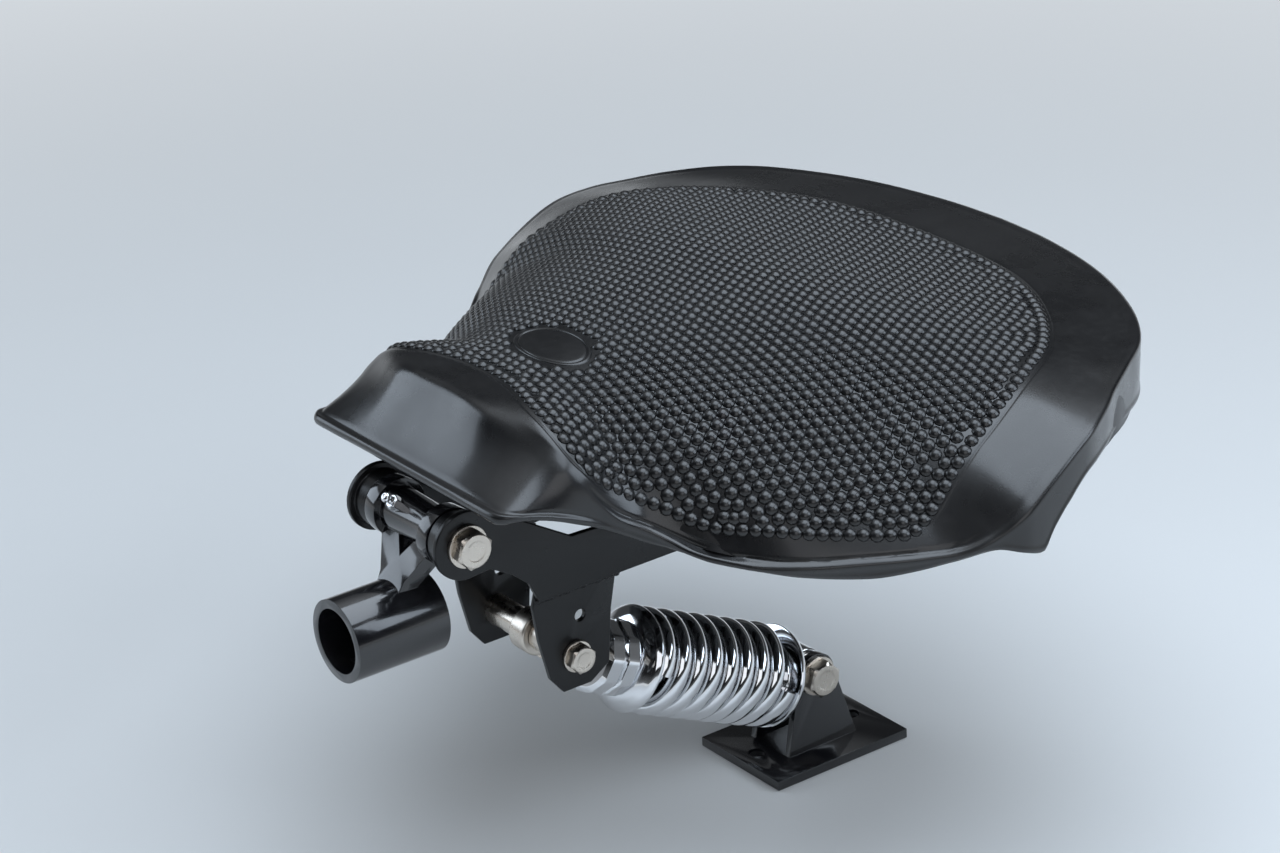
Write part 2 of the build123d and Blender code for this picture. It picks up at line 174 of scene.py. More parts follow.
PAN_SIDE = [
    # x, crown, half width and drop of the pan's arched sections
    (15, 63, 58, 30),
    (35, 63.5, 60, 36),
    (62, 63.5, 98, 52),
    (105, 67.5, 152, 69.5),
    (155, 72, 190, 71),
    (190, 73.5, 212, 52.5),
    (225, 70, 208, 28.5),
    (260, 64, 189, 13.5),
    (300, 58, 162, 4),
    (370, 53, 162, 2.5),
]
STATIONS = 250  # round one half of the cover
MIDDLE_X = 190.0  # where the cover's spokes meet
SQUARE_FROM = 300.0  # x from where the top keeps its half width
INNER_RINGS, BORDER_RINGS, OUTER_RINGS = 44, 17, 27  # from the middle out to the lower edge
INNER_CROWDING, BORDER_CROWDING, OUTER_CROWDING = 1.35, 1.2, 1.4  # how much closer rings stand at the lip
FIELD_END, LAST_RINGS = 3.0, (2.0, 1.2, 0.6)  # where the top's last rings lie inside the nubs' border
LINE_RINGS, NARROW = (0, 0.4, 0.8, 1.3, 2.0), 8.0  # across the line round the nubs, closer in a narrow border
LIP_FROM, LIP_FULL = 30.0, 50.0  # x where the nose's apron turns into the lip of the wings
REAR_FROM, REAR_FULL = 150.0, 205.0  # x where the lip of the wings turns into the plain rim of the rear
BEAD_AT, BEAD_WIDTH, BEAD_LESS = -0.6, 2.1, 0.7  # outwards from the lip's crown; its loss at the rear
GROOVE_AT, GROOVE_WIDTH, GROOVE_SHARE = -4.3, 0.9, 0.62  # or at this share of a narrow border
LINE_AT, LINE_WIDTH = 0.6, 0.5  # the fine line, outwards from the nubs' border
APRON_PULL_TOP, APRON_PULL_EDGE = np.array((0.25, 0.25, 0.42)), np.array((0.36, 0.36, 0.22))  # its bow
APRON_BEAD_AT, APRON_BEAD_WIDTH = 1.6, 1.2  # places inwards from the apron's lower edge
APRON_GROOVE_AT, APRON_GROOVE_WIDTH = 4.2, 0.9
APRON_BEAD_LESS = 0.55  # how much of the bead's height is lost along the wings
EDGE_ROUND = ((0.5, 0.12), (0.9, 0.4), (0.9, 0.65), (0.5, 0.9))  # past the edge, share of the wall
SOFT_RIM, SOFT_LESS, SOFT_FULL = 4.5, 2.0, 200.0  # how far the rim is rounded, how much less from this x on
PAN_UNDER = 5.0  # the pan's top lies this far under its own arched sections
THINNEST, THICKEST = 3.5, 12.0  # how far the cover's underside lies under its top, over the pan
NUB_SIDES, NUB_POWER, NUB_SUNK = 10, 1.6, 0.2  # faces round a nub, how pointed it is, how deep it stands
# Rounds that even out the nubs: gaps over this share of the pitch are filled, then so many pushes apart
NUB_ROUNDS = ((0.86, 15), (0.80, 35), (0.77, 30), (0.77, 25), (0.77, 25))
NUB_PUSH = 0.36  # share of what two nubs lack of the pitch that a push moves each of them
# Shares of the pitch: from the border to the first row, between rows, the room that a nub needs beside
# that row, the room it needs in the last gaps, and the reach of a push
FIRST_ROW, ROW_STEP, ROW_ROOM, LAST_ROOM, PUSH_REACH = 0.72, 0.866, 0.72, 0.71, 0.98
SPOTS = (1.2, 1.7)  # the fine grid of places where room for a nub is looked for
PATCH_MARGIN = 3.4  # clear of nubs round the plain patch
EDGE_SHARPNESS = 60  # of the corners between the flats of a bolt's head
THREAD_PITCH = 1.25
SAME = 1e-6  # metres; points nearer than this are one
CORNER_SHARE = 0.4  # of a side of a profile, the most that a rounded corner takes
WASHER, BOLT_PAST = 2.0, 3.0  # how thick a washer is, and how far a bolt stands past its nut
BOLTS = [
    # pin, body, seat, across the flats, shank's radius, height of the head and of the nut, washer's radius
    ("pivot", "saddle", 38.0, 17.0, 5.0, 6.4, 8.0, 10.5),
    ("lever", "saddle", 35.0, 13.0, 4.0, 5.3, 6.5, 8.0),
    ("anchor", "frame", 16.0, 17.0, 5.0, 6.4, 8.0, 10.5),
]
ROUNDED = [
    # node, piece, body, slot, width of its rounded edges
    ("side_plate_left", "left_side_plate", "saddle", "painted_steel", 0.6),
    ("side_plate_right", "right_side_plate", "saddle", "painted_steel", 0.6),
    ("lever_lug_left", "left_lever_lug", "saddle", "painted_steel", 0.5),
    ("lever_lug_right", "right_lever_lug", "saddle", "painted_steel", 0.5),
    ("cross_tube", "round_cross_tube", "saddle", "painted_steel", 0.4),
    ("rib_front", "front_pan_rib", "saddle", "painted_steel", 0.7),
    ("rib_rear", "rear_pan_rib", "saddle", "painted_steel", 0.7),
    ("frame_lug", "cast_frame_lug", "frame", "lug_enamel", 1.1),
    ("rear_anchor", "anchor_bracket", "frame", "lug_enamel", 0.8),
]

# The stage, in metres
PICTURE, SENSOR = (1280, 853), 36.0  # the photograph in pixels, the sensor's width in millimetres
SKY = (0.76, 0.87, 1.0)
LAMPS = [
    # name, place from the saddle's middle, width and height, watts, colour
    ("sky_over", (0.12, -0.26, 1.57), (1.6, 1.5), 25.0, SKY),
    ("sky_left_rear", (0.78, -1.20, 0.92), (1.2, 0.9), 13.0, SKY),
    ("sky_front_right", (-1.05, 1.40, 0.62), (1.0, 0.9), 8.0, SKY),
    ("front_left", (-0.80, -1.60, 0.95), (1.5, 1.1), 6.0, (0.94, 0.96, 1.0)),
]
WORLD_LEVEL = 0.18
# Height of a direction over the horizon, and how bright a gloss finds the studio there
SURROUND = [(0.0, 0.50), (0.08, 0.30), (0.20, 0.06), (0.50, 0.05), (0.72, 0.40), (0.86, 0.9)]
BRIGHT_SIDE = (0.62, 0.78, 0.0)
FLOOR_REACH = 40.0
FAR_TONE = (0.72, 0.76, 0.80)  # of the surround, and of the floor far away
FAR_FROM, FAR_FULL = 0.35, 2.2  # between which distances the floor runs out to it


# Sizes and colours

def number_value(name, text, value, **kind):
    return bpy.props.FloatProperty(name=name, description=text, default=value, **kind)


def length_value(name, text, millimetres):
    return number_value(name, text, millimetres * MM, unit="LENGTH", subtype="DISTANCE")


def angle_value(name, text, degrees):
    return number_value(name, text, radians(degrees), unit="ROTATION", subtype="ANGLE")


def colour_value(name, text, value):
    return bpy.props.FloatVectorProperty(
        name=name, description=text, default=value, size=3, subtype="COLOR", min=0, max=1)


class CoverSizes(bpy.types.PropertyGroup):
    wall: length_value("Wall", "Thickness of the rubber at its rim", 4.0)
    lip: length_value("Lip", "How far the rim stands out past the crown of the lip", 2.0)
    bead: length_value("Bead", "Height of the rolled lip along the wings", 1.3)
    groove: length_value("Groove", "Depth of the groove inside the lip", 0.9)
    border_line: length_value("Border line", "Depth of the fine line round the nubs", 0.5)
    apron_bead: length_value("Apron bead", "Height of the bead along the apron's lower edge", 1.1)
    nub_pitch: length_value("Nub pitch", "Distance between neighbouring nubs", 6.1)
    nub_radius: length_value("Nub radius", "Radius of one nub", 3.5)
    nub_height: length_value("Nub height", "Height of one nub", 2.1)
    patch_at: length_value("Plain patch place", "Middle of the plain patch behind the pivot", 80.0)
    patch_long: length_value("Plain patch length", "Half length of the plain patch, fore and aft", 14.0)
    patch_wide: length_value("Plain patch width", "Half width of the plain patch", 26.0)


class SpringSizes(bpy.types.PropertyGroup):
    start: length_value("Coil start", "From the rear pin to the coil", 18.0)
    length: length_value("Coil length", "Length of the coil between its seats", 93.0)
    radius: length_value("Coil radius", "To the middle of the wire", 22.5)
    wire: length_value("Wire radius", "Radius of the wire", 4.5)
    turns: number_value("Turns", "Turns of the coil", 8.0)
    below: length_value("Offset", "The spring's axis lies this far below its pins", 8.0)


class FinishColours(bpy.types.PropertyGroup):
    rubber: colour_value("Rubber", "Moulded rubber", (0.0065, 0.0065, 0.0072))
    rubber_dust: colour_value("Dust", "Dust lying in the rubber's texture", (0.075, 0.07, 0.064))
    paint: colour_value("Paint", "Semi-gloss paint on the plates", (0.0055, 0.0055, 0.006))
    enamel: colour_value("Enamel", "Gloss enamel on the frame's lugs", (0.006, 0.006, 0.0075))
    nickel: colour_value("Nickel", "Plating on the bolts", (0.62, 0.565, 0.50))
    chrome: colour_value("Chrome", "Polished plating on the spring", (0.80, 0.81, 0.83))


class StageSettings(bpy.types.PropertyGroup):
    azimuth: angle_value("Azimuth", "The camera's direction round the saddle", 34.979)
    elevation: angle_value("Elevation", "The camera's height above the horizon", 23.963)
    roll: angle_value("Roll", "The camera's turn about its own axis", -3.405)
    distance: length_value("Distance", "From the camera to the pivot, in depth", 1791.92)
    lens: number_value("Lens", "Focal length on a 36 mm wide sensor, in millimetres", 108.355)
    pivot_across: number_value("Pivot across", "Place of the pivot in the 1280 x 853 picture", 420.769)
    pivot_down: number_value("Pivot down", "Place of the pivot in the 1280 x 853 picture", 519.610)
    floor: colour_value("Floor", "Pale floor", (0.78, 0.78, 0.77))


# Numbers and meshes

def smooth_line(xs, ys):
    """A smooth function through the points that never overshoots them."""
    xs, ys = np.asarray(xs, float), np.asarray(ys, float)
    step = np.diff(xs)
    slope = np.diff(ys) / step
    lean = np.zeros(len(xs))
    lean[0], lean[-1] = slope[0], slope[-1]
    for i in range(1, len(xs) - 1):
        if slope[i - 1] * slope[i] > 0:
            lean[i] = 2 / (1 / slope[i - 1] + 1 / slope[i])

    def value(x):
        x = np.clip(x, xs[0], xs[-1])
        i = np.clip(np.searchsorted(xs, x, side="right") - 1, 0, len(xs) - 2)
        t, h = (x - xs[i]) / step[i], step[i]
        return ((1 + 2 * t) * (1 - t) ** 2 * ys[i] + t * (1 - t) ** 2 * h * lean[i]
                + t * t * (3 - 2 * t) * ys[i + 1] + t * t * (t - 1) * h * lean[i + 1])
    return value


def ease(x, low, high):
    """0 below low, 1 above high, and a smooth step between."""
    t = np.clip((x - low) / (high - low), 0, 1)
    return t * t * (3 - 2 * t)


def bump_at(x, place, width):
    """A rounded hump of height 1."""
    return np.exp(-((x - place) / width) ** 2)


def table_lines(table):
    """A smooth function of a table's first column for each of its others."""
    first, *others = np.array(table).T
    return [smooth_line(first, column) for column in others]


TOP_LINES, PAN_LINES, (HEM_LINE,) = table_lines(TOP), table_lines(PAN_SIDE), table_lines(HEM)


def top_height(x, y):
    """Height of the saddle's top over the pivot, in millimetres."""
    crown, _, drop, power = [line(x) for line in TOP_LINES]
    half = TOP_LINES[1](np.minimum(x, SQUARE_FROM))
    return crown - drop * (np.abs(y) / half) ** power


def on_top(plan):
    """The points of the saddle's top over those of a plan."""
    return np.column_stack([plan, top_height(*plan.T)])


def pan_height(x, y):
    """Height of the steel pan's top under the rubber."""
    crown, half, drop = [line(x) for line in PAN_LINES]
    radius = (half ** 2 + drop ** 2) / (2 * drop)
    return crown - radius + np.sqrt(np.maximum(radius ** 2 - y ** 2, 1.0)) - PAN_UNDER


def placed(points):
    """Millimetres from the pivot to metres in the part's frame."""
    return np.asarray(points) * MM + np.array(PIVOT)


def linked(name, data):
    """A new object of the data, in the scene."""
    obj = bpy.data.objects.new(name, data)
    bpy.context.scene.collection.objects.link(obj)
    return obj


def mesh_of(name, skin, sharp):
    """A closed, outward-facing, smooth mesh of a skin's points and faces."""
    points, faces = skin
    bm = bmesh.new()
    verts = [bm.verts.new(p) for p in points]
    for face in faces:
        bm.faces.new([verts[i] for i in face])
    bmesh.ops.remove_doubles(bm, verts=bm.verts, dist=SAME)
    bmesh.ops.recalc_face_normals(bm, faces=bm.faces)
    mesh = bpy.data.meshes.new(name)
    bm.to_mesh(mesh)
    bm.free()
    mesh.shade_smooth()
    mesh.set_sharp_from_angle(angle=radians(sharp))
    return mesh


def piece(name, shape, body, slot, *replaces, sharp=35.0, finish=None):
    """A mesh or a skin as a piece on a body, in the finish of its slot or of another one."""
    mesh = shape if isinstance(shape, bpy.types.Mesh) else mesh_of(name, shape, sharp)
    obj = linked(name, mesh)
    mesh.materials.clear()
    mesh.materials.append(finish_of(finish or slot))
    if body:
        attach(obj, body)
    if replaces:
        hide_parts(*replaces)
    return obj


def converted(obj):
    """The mesh that an object's modifiers make of it. The object goes."""
    graph = bpy.context.evaluated_depsgraph_get()
    mesh = bpy.data.meshes.new_from_object(obj.evaluated_get(graph), depsgraph=graph)
    bpy.data.objects.remove(obj)
    return mesh


def loft(rings):
    """Points and faces of a skin over rings of equal length, closed at its ends."""
    count = len(rings[0])
    points = [tuple(p) for ring in rings for p in ring]
    edges = [(i, (i + 1) % count) for i in range(count)]
    starts = range(0, count * len(rings), count)
    faces = [(a + i, a + j, b + j, b + i) for a, b in zip(starts, starts[1:]) for i, j in edges]
    for ring in (0, -1):
        points.append(tuple(np.mean(np.asarray(rings[ring]), axis=0)))
        faces += [(starts[ring] + i, starts[ring] + j, len(points) - 1) for i, j in edges]
    return points, faces


def axes(direction):
    """Two unit vectors across a direction."""
    along = Vector(direction).normalized()
    side = along.cross(Vector((0, 0, 1)))
    side = side.normalized() if side.length > 1e-3 else Vector((1, 0, 0))
    return along, side, side.cross(along)


def rounded(profile, radius):
    """A profile of (radius, place) points with its corners rounded."""
    points = [np.array(p, float) for p in profile]
    out = [points[0]]
    for before, corner, after in zip(points, points[1:], points[2:]):
        a, b = before - corner, after - corner
        cut = min(radius, CORNER_SHARE * np.linalg.norm(a), CORNER_SHARE * np.linalg.norm(b))
        start = corner + a / np.linalg.norm(a) * cut
        end = corner + b / np.linalg.norm(b) * cut
        for t in (0, 1 / 3, 2 / 3, 1):
            out.append((1 - t) ** 2 * start + 2 * t * (1 - t) * corner + t * t * end)
    return out + [points[-1]]


def flats(angle, sides, across):
    """Distance from the axis to a many-sided outline with softened corners."""
    turn = 2 * pi / sides
    shares = sum(max(0.0, cos(angle - k * turn)) ** EDGE_SHARPNESS for k in range(sides))
    return across / 2 / shares ** (1 / EDGE_SHARPNESS)


def turned(profile, start, direction, sides=None, across=0.0, count=72, spin=0.0, radius=0.35):
    """A body of revolution; where the profile's radius is over the flats, it is cut to them.

    The profile's places run along direction from start, in millimetres. A chamfered many-sided
    head is a profile wider than its flats, so the chamfer leaves a curved edge on each flat."""
    along, side, up = axes(direction)
    rings = []
    for r, place in rounded(profile, radius):
        ring = []
        for k in range(count):
            angle = 2 * pi * k / count + spin
            reach = min(r, flats(angle - spin, sides, across)) if sides else r
            ring.append(start + along * place * MM + (side * cos(angle) + up * sin(angle)) * reach * MM)
        rings.append(ring)
    return loft(rings)


def joined(*skins):
    """Several (points, faces) as one."""
    points, faces = [], []
    for more_points, more_faces in skins:
        base = len(points)
        points += more_points
        faces += [tuple(i + base for i in face) for face in more_faces]
    return points, faces


# Node trees

def fill(node, inputs):
    """Gives a node's inputs their values, or links them to a socket or to a node's first output."""
    for label, value in inputs.items():
        if isinstance(value, bpy.types.Node):
            value = value.outputs[0]
        if isinstance(value, bpy.types.NodeSocket):
            node.id_data.links.new(value, node.inputs[label])
        else:
            node.inputs[label].default_value = value
    return node


def adder(tree):
    """A function that adds a node to the tree, with its settings and its inputs."""
    def add(kind, inputs=None, **settings):
        node = tree.nodes.new(kind)
        for name, value in settings.items():
            setattr(node, name, value)
        return fill(node, inputs or {})
    return add


def maths(add, operation, *values, clamp=False):
    return add("ShaderNodeMath", dict(enumerate(values)), operation=operation, use_clamp=clamp)


def node_tree(name, inputs):
    """A Geometry Nodes tree with a geometry in and out and the named inputs, its adder and its inputs."""
    tree = bpy.data.node_groups.new(name, "GeometryNodeTree")
    for label, kind in {"Geometry": "Geometry", **inputs}.items():
        tree.interface.new_socket(label, in_out="INPUT", socket_type="NodeSocket" + kind)
    tree.interface.new_socket("Geometry", in_out="OUTPUT", socket_type="NodeSocketGeometry")
    add = adder(tree)
    return tree, add, add("NodeGroupInput").outputs


def finished(add, geometry, given):
    """The end of a tree: real geometry, smooth and in its material."""
    real = add("GeometryNodeRealizeInstances", {"Geometry": geometry})
    smooth = add("GeometryNodeSetShadeSmooth", {"Geometry": real})
    painted = add("GeometryNodeSetMaterial", {"Geometry": smooth, "Material": given["Material"]})
    add("NodeGroupOutput", {0: painted})


def grown(name, seeds, tree, values):
    """The mesh that a Geometry Nodes tree makes of the seeds, with no modifier left."""
    obj = linked(name + "_seeds", seeds)
    modifier = obj.modifiers.new(name, "NODES")
    modifier.node_group = tree
    for socket in tree.interface.items_tree:
        if socket.name in values:
            modifier[socket.identifier] = values[socket.name]
    mesh = converted(obj)
    mesh.name = name
    return mesh


def nub_tree():
    """Geometry Nodes that stand a rounded nub on each seed."""
    tree, add, given = node_tree("Nubs on seeds", {
        "Radius": "Float", "Height": "Float", "Variation": "Float", "Seed": "Int", "Material": "Material"})
    ball = add("GeometryNodeMeshUVSphere", {"Segments": NUB_SIDES, "Rings": 6, "Radius": 1.0})
    split = add("ShaderNodeSeparateXYZ", {0: add("GeometryNodeInputPosition")}).outputs
    below = add("FunctionNodeCompare", {"A": split["Z"], "B": -0.2}, operation="LESS_THAN")
    cap = add("GeometryNodeDeleteGeometry", {"Geometry": ball, "Selection": below})
    full = maths(add, "POWER", split["Z"], NUB_POWER, clamp=True)
    crown = add("ShaderNodeCombineXYZ", {"X": split["X"], "Y": split["Y"], "Z": full})
    swell = add("GeometryNodeSetPosition", {"Geometry": cap, "Position": crown})
    foot = add("GeometryNodeMeshCircle", {"Vertices": NUB_SIDES, "Radius": 1.0}, fill_type="NGON")
    both = add("GeometryNodeJoinGeometry", {"Geometry": add("GeometryNodeFlipFaces", {"Mesh": foot})})
    fill(both, {"Geometry": swell})
    dome = add("GeometryNodeMergeByDistance", {"Geometry": both, "Distance": 0.001})
    lean = add("GeometryNodeInputNamedAttribute", {"Name": "lean"}, data_type="FLOAT_VECTOR")
    turn = add("FunctionNodeAlignRotationToVector", {"Vector": lean.outputs["Attribute"]}, axis="Z")
    low = maths(add, "SUBTRACT", 1.0, given["Variation"])
    high = maths(add, "ADD", 1.0, given["Variation"])
    chance = add("FunctionNodeRandomValue", {2: low, 3: high, "Seed": given["Seed"]}, data_type="FLOAT")
    size = add("ShaderNodeCombineXYZ", {"X": given["Radius"], "Y": given["Radius"], "Z": given["Height"]})
    scaled = add("ShaderNodeVectorMath", {0: size, "Scale": chance.outputs[1]}, operation="SCALE")
    finished(add, add("GeometryNodeInstanceOnPoints", {
        "Points": given["Geometry"], "Instance": dome, "Rotation": turn, "Scale": scaled}), given)
    return tree


def coil_tree():
    """Geometry Nodes that wind a round wire into a coil along +Z."""
    tree, add, given = node_tree("Coil of wire", {
        "Turns": "Float", "Radius": "Float", "Wire": "Float", "Rise": "Float", "Material": "Material"})
    line = add("GeometryNodeCurveSpiral", {
        "Resolution": 60, "Rotations": given["Turns"], "Start Radius": given["Radius"],
        "End Radius": given["Radius"], "Height": given["Rise"]})
    ring = add("GeometryNodeCurvePrimitiveCircle", {"Resolution": 20, "Radius": given["Wire"]})
    finished(add, add("GeometryNodeCurveToMesh", {
        "Fill Caps": True, "Curve": line, "Profile Curve": ring}), given)
    return tree


def weld_tree():
    """Geometry Nodes that lay overlapping beads of weld along a line of seeds."""
    tree, add, given = node_tree("Weld beads", {
        "Bead": "Float", "Step": "Float", "Seed": "Int", "Material": "Material"})
    path = add("GeometryNodeMeshToCurve", {"Mesh": given["Geometry"]})
    spaced = add("GeometryNodeResampleCurve", {"Curve": path, "Length": given["Step"]}, mode="LENGTH")
    ball = add("GeometryNodeMeshUVSphere", {"Segments": 12, "Rings": 8, "Radius": given["Bead"]})
    chance = add("FunctionNodeRandomValue", {2: 0.85, 3: 1.15, "Seed": given["Seed"]}, data_type="FLOAT")
    finished(add, add("GeometryNodeInstanceOnPoints", {
        "Points": spaced, "Instance": ball, "Scale": chance.outputs[1]}), given)
    return tree


# The rubber cover

def run_along(line):
    """How far along a line of points each of them lies."""
    return np.concatenate([[0], np.cumsum(np.linalg.norm(np.diff(line, axis=0), axis=1))])


def points_at(places, run, line):
    """The points of a line at some places along it."""
    return np.column_stack([np.interp(places, run, column) for column in line.T])


def rim_lines():
    """The rim, the nubs' border and the lower edge at each station of one half."""
    rows = np.array(RIM)
    run = run_along(rows[:, :3])
    at = np.linspace(0, run[-1], STATIONS + 1)
    lines = [smooth_line(run, column)(at) for column in rows.T]
    rim, border = np.stack(lines[:3], 1), np.stack(lines[3:], 1)
    tangent = np.gradient(rim[:, :2], axis=0)
    tangent[0], tangent[-1] = (0, 1), (0, -1)
    tangent /= np.linalg.norm(tangent, axis=1)[:, None]
    outward = np.stack([-tangent[:, 1], tangent[:, 0]], 1)
    apron_edge = np.stack([smooth_line(run[:len(APRON)], column)(at) for column in np.array(APRON).T], 1)
    return rim, border, outward, apron_edge, ease(rim[:, 0], LIP_FROM, LIP_FULL)


def cover_section(rim, border, outward, apron_edge, lipped, sizes):
    """One spoke from the nubs' border to the lower edge: points and heights of the lip over them."""
    mm = 1 / MM
    slope = (top_height(*(rim[:2] - 2 * outward)) - top_height(*rim[:2])) / 2
    stand_out = sizes.lip * mm * lipped
    corner = np.append(rim[:2] + outward * stand_out, rim[2] - slope * stand_out)
    lip_edge = np.append(corner[:2] - outward, HEM_LINE(rim[0]))
    edge = apron_edge * (1 - lipped) + lip_edge * lipped

    f = np.linspace(0, 1, 40)[:, None]
    inner = on_top(border + (corner[:2] - border) * f)
    inner[:, 2] += (corner[2] - top_height(*corner[:2])) * f[:, 0] ** 2
    pull_a = corner + (edge - corner) * APRON_PULL_TOP
    pull_b = edge + (corner - edge) * APRON_PULL_EDGE
    g = 1 - f
    sheet = g ** 3 * corner + 3 * f * g ** 2 * pull_a + 3 * f * f * g * pull_b + f ** 3 * edge
    wall = corner + (edge - corner) * f
    outer = sheet * (1 - lipped) + wall * lipped
    in_run, out_run = run_along(inner), run_along(outer)
    in_len, out_len = in_run[-1], out_run[-1]

    def spot(a):
        line, run, at = (inner, in_run, a + in_len) if a < 0 else (outer, out_run, a)
        return points_at([at], run, line)[0]

    near = np.array(LINE_RINGS) * min(1, in_len / NARROW)
    border_share = np.linspace(0, 1, BORDER_RINGS - len(near) + 1)[1:]
    inner_at = -(in_len - near[-1]) * (1 - border_share) ** BORDER_CROWDING
    outer_at = out_len * (1 - (1 - np.linspace(0, 1, OUTER_RINGS + 1)[1:]) ** OUTER_CROWDING)
    places = np.concatenate([near - in_len, inner_at, outer_at])
    soft = SOFT_RIM - SOFT_LESS * lipped * ease(rim[0], REAR_FROM, SOFT_FULL)
    soft = min(soft, 0.8 * in_len, 0.6 * out_len)
    start, end = spot(-soft), spot(soft)
    points = []
    for a in places:
        if abs(a) < soft:
            t = (a + soft) / (2 * soft)
            points.append((1 - t) ** 2 * start + 2 * t * (1 - t) * corner + t * t * end)
        else:
            points.append(spot(a))
    rise = lipped * (1 - BEAD_LESS * ease(rim[0], REAR_FROM, REAR_FULL))
    height = sizes.bead * mm * rise * bump_at(places, BEAD_AT, BEAD_WIDTH)
    groove_at = max(GROOVE_AT, -GROOVE_SHARE * in_len)
    height -= sizes.groove * mm * rise * bump_at(places, groove_at, GROOVE_WIDTH)
    height -= sizes.border_line * mm * (1 - rise) * bump_at(places, LINE_AT - in_len, LINE_WIDTH)
    small = 1 - APRON_BEAD_LESS * lipped
    height += sizes.apron_bead * mm * small * bump_at(places, out_len - APRON_BEAD_AT, APRON_BEAD_WIDTH)
    height -= (0.5 * sizes.apron_bead * mm * small
               * bump_at(places, out_len - APRON_GROOVE_AT, APRON_GROOVE_WIDTH) * (1 - lipped))
    return np.array(points), height


def cover_rings(sizes):
    """Rings round the cover from its middle out over the rim and back under it."""
    middle = np.array((MIDDLE_X, 0.0))
    even = np.arange(1, INNER_RINGS) / INNER_RINGS
    half, heights = [], []
    for row in zip(*rim_lines()):
        border = row[1]
        away = np.linalg.norm(border - middle)
        shares = np.append((1 - (1 - even) ** INNER_CROWDING) * (1 - FIELD_END / away),
                           1 - np.array(LAST_RINGS) / away)
        plan = middle + (border - middle) * shares[:, None]
        field = on_top(plan)
        points, height = cover_section(*row, sizes)
        half.append(np.vstack([field, points]))
        heights.append(np.concatenate([np.zeros(len(field)), height]))
    half, heights = np.array(half), np.array(heights)
    grid = np.concatenate([half, half[-2:0:-1] * np.array((1, -1, 1))])
    heights = np.concatenate([heights, heights[-2:0:-1]])
    around = np.roll(grid, -1, axis=0) - np.roll(grid, 1, axis=0)
    out = np.gradient(grid, axis=1)
    normal = np.cross(around, out)
    normal /= np.maximum(np.linalg.norm(normal, axis=2), 1e-9)[:, :, None]
    normal *= np.sign(normal[:, :1, 2:3])
    skin = grid + normal * heights[:, :, None]

    wall = sizes.wall / MM
    edge_way = out[:, -1] / np.linalg.norm(out[:, -1], axis=1)[:, None]
    rings = [skin[:, k] for k in range(skin.shape[1])]
    for forward, share in EDGE_ROUND:  # round the lower edge
        rings.append(grid[:, -1] + edge_way * forward - normal[:, -1] * wall * share)
    last, first_out = grid.shape[1] - 1, INNER_RINGS + 2 + BORDER_RINGS
    for k in range(last - 1, first_out + 6, -3):  # back up inside the apron and the skirt
        rings.append(grid[:, k] - normal[:, k] * wall)
    for k in range(INNER_RINGS - 2, -1, -4):  # and under the top, on the pan
        ring = grid[:, k].copy()
        under = np.minimum(ring[:, 2] - THINNEST, pan_height(ring[:, 0], ring[:, 1]))
        ring[:, 2] = np.maximum(under, ring[:, 2] - THICKEST)
        rings.append(ring)
    return rings


def top_normal(x, y):
    """Unit normals of the saddle's top."""
    dx = top_height(x + 0.5, y) - top_height(x - 0.5, y)
    dy = top_height(x, y + 0.5) - top_height(x, y - 0.5)
    normal = np.column_stack([-dx, -dy, np.ones(len(dx))])
    return normal / np.linalg.norm(normal, axis=1)[:, None]


def inside(plan, ring):
    """The points of a plan that a closed line goes round."""
    within = np.zeros(len(plan), bool)
    x, y = plan[:, 0], plan[:, 1]
    for (ax, ay), (bx, by) in zip(ring, np.roll(ring, -1, axis=0)):
        if ay != by:
            within ^= ((ay > y) != (by > y)) & (x < ax + (bx - ax) * (y - ay) / (by - ay))
    return plan[within]


def tree_of(points):
    tree = KDTree(len(points))
    for i, p in enumerate(points):
        tree.insert(p, i)
    tree.balance()
    return tree


def apart_from(fixed, points, gap):
    """The points that stand at least a gap away from the fixed ones."""
    tree = tree_of(fixed)
    return points[[tree.find(p)[2] > gap for p in points]]


def filled(points, spots, gap):
    """The points, and a new one wherever a spot is more than a gap from all of them."""
    tree = tree_of(points)
    room = np.array([tree.find(p)[2] for p in spots])
    added = []
    for i in np.argsort(-room):
        if room[i] < gap:
            break
        if all(np.linalg.norm(spots[i] - p) > gap for p in added):
            added.append(spots[i])
    return np.vstack([points] + added)


def spread_out(points, held, reach, rounds):
    """Pushes points that are nearer than reach apart over the top; the first ones are held."""
    for _ in range(rounds):
        tree = tree_of(points)
        push = np.zeros_like(points)
        for i in range(held, len(points)):
            for q, j, gap in tree.find_range(points[i], reach):
                if j != i and gap > 1e-6:
                    push[i] += (points[i] - np.array(q)) / gap * (reach - gap) * NUB_PUSH
        points[held:, :2] += push[held:, :2]
        points[held:, 2] = top_height(points[held:, 0], points[held:, 1])
    return points


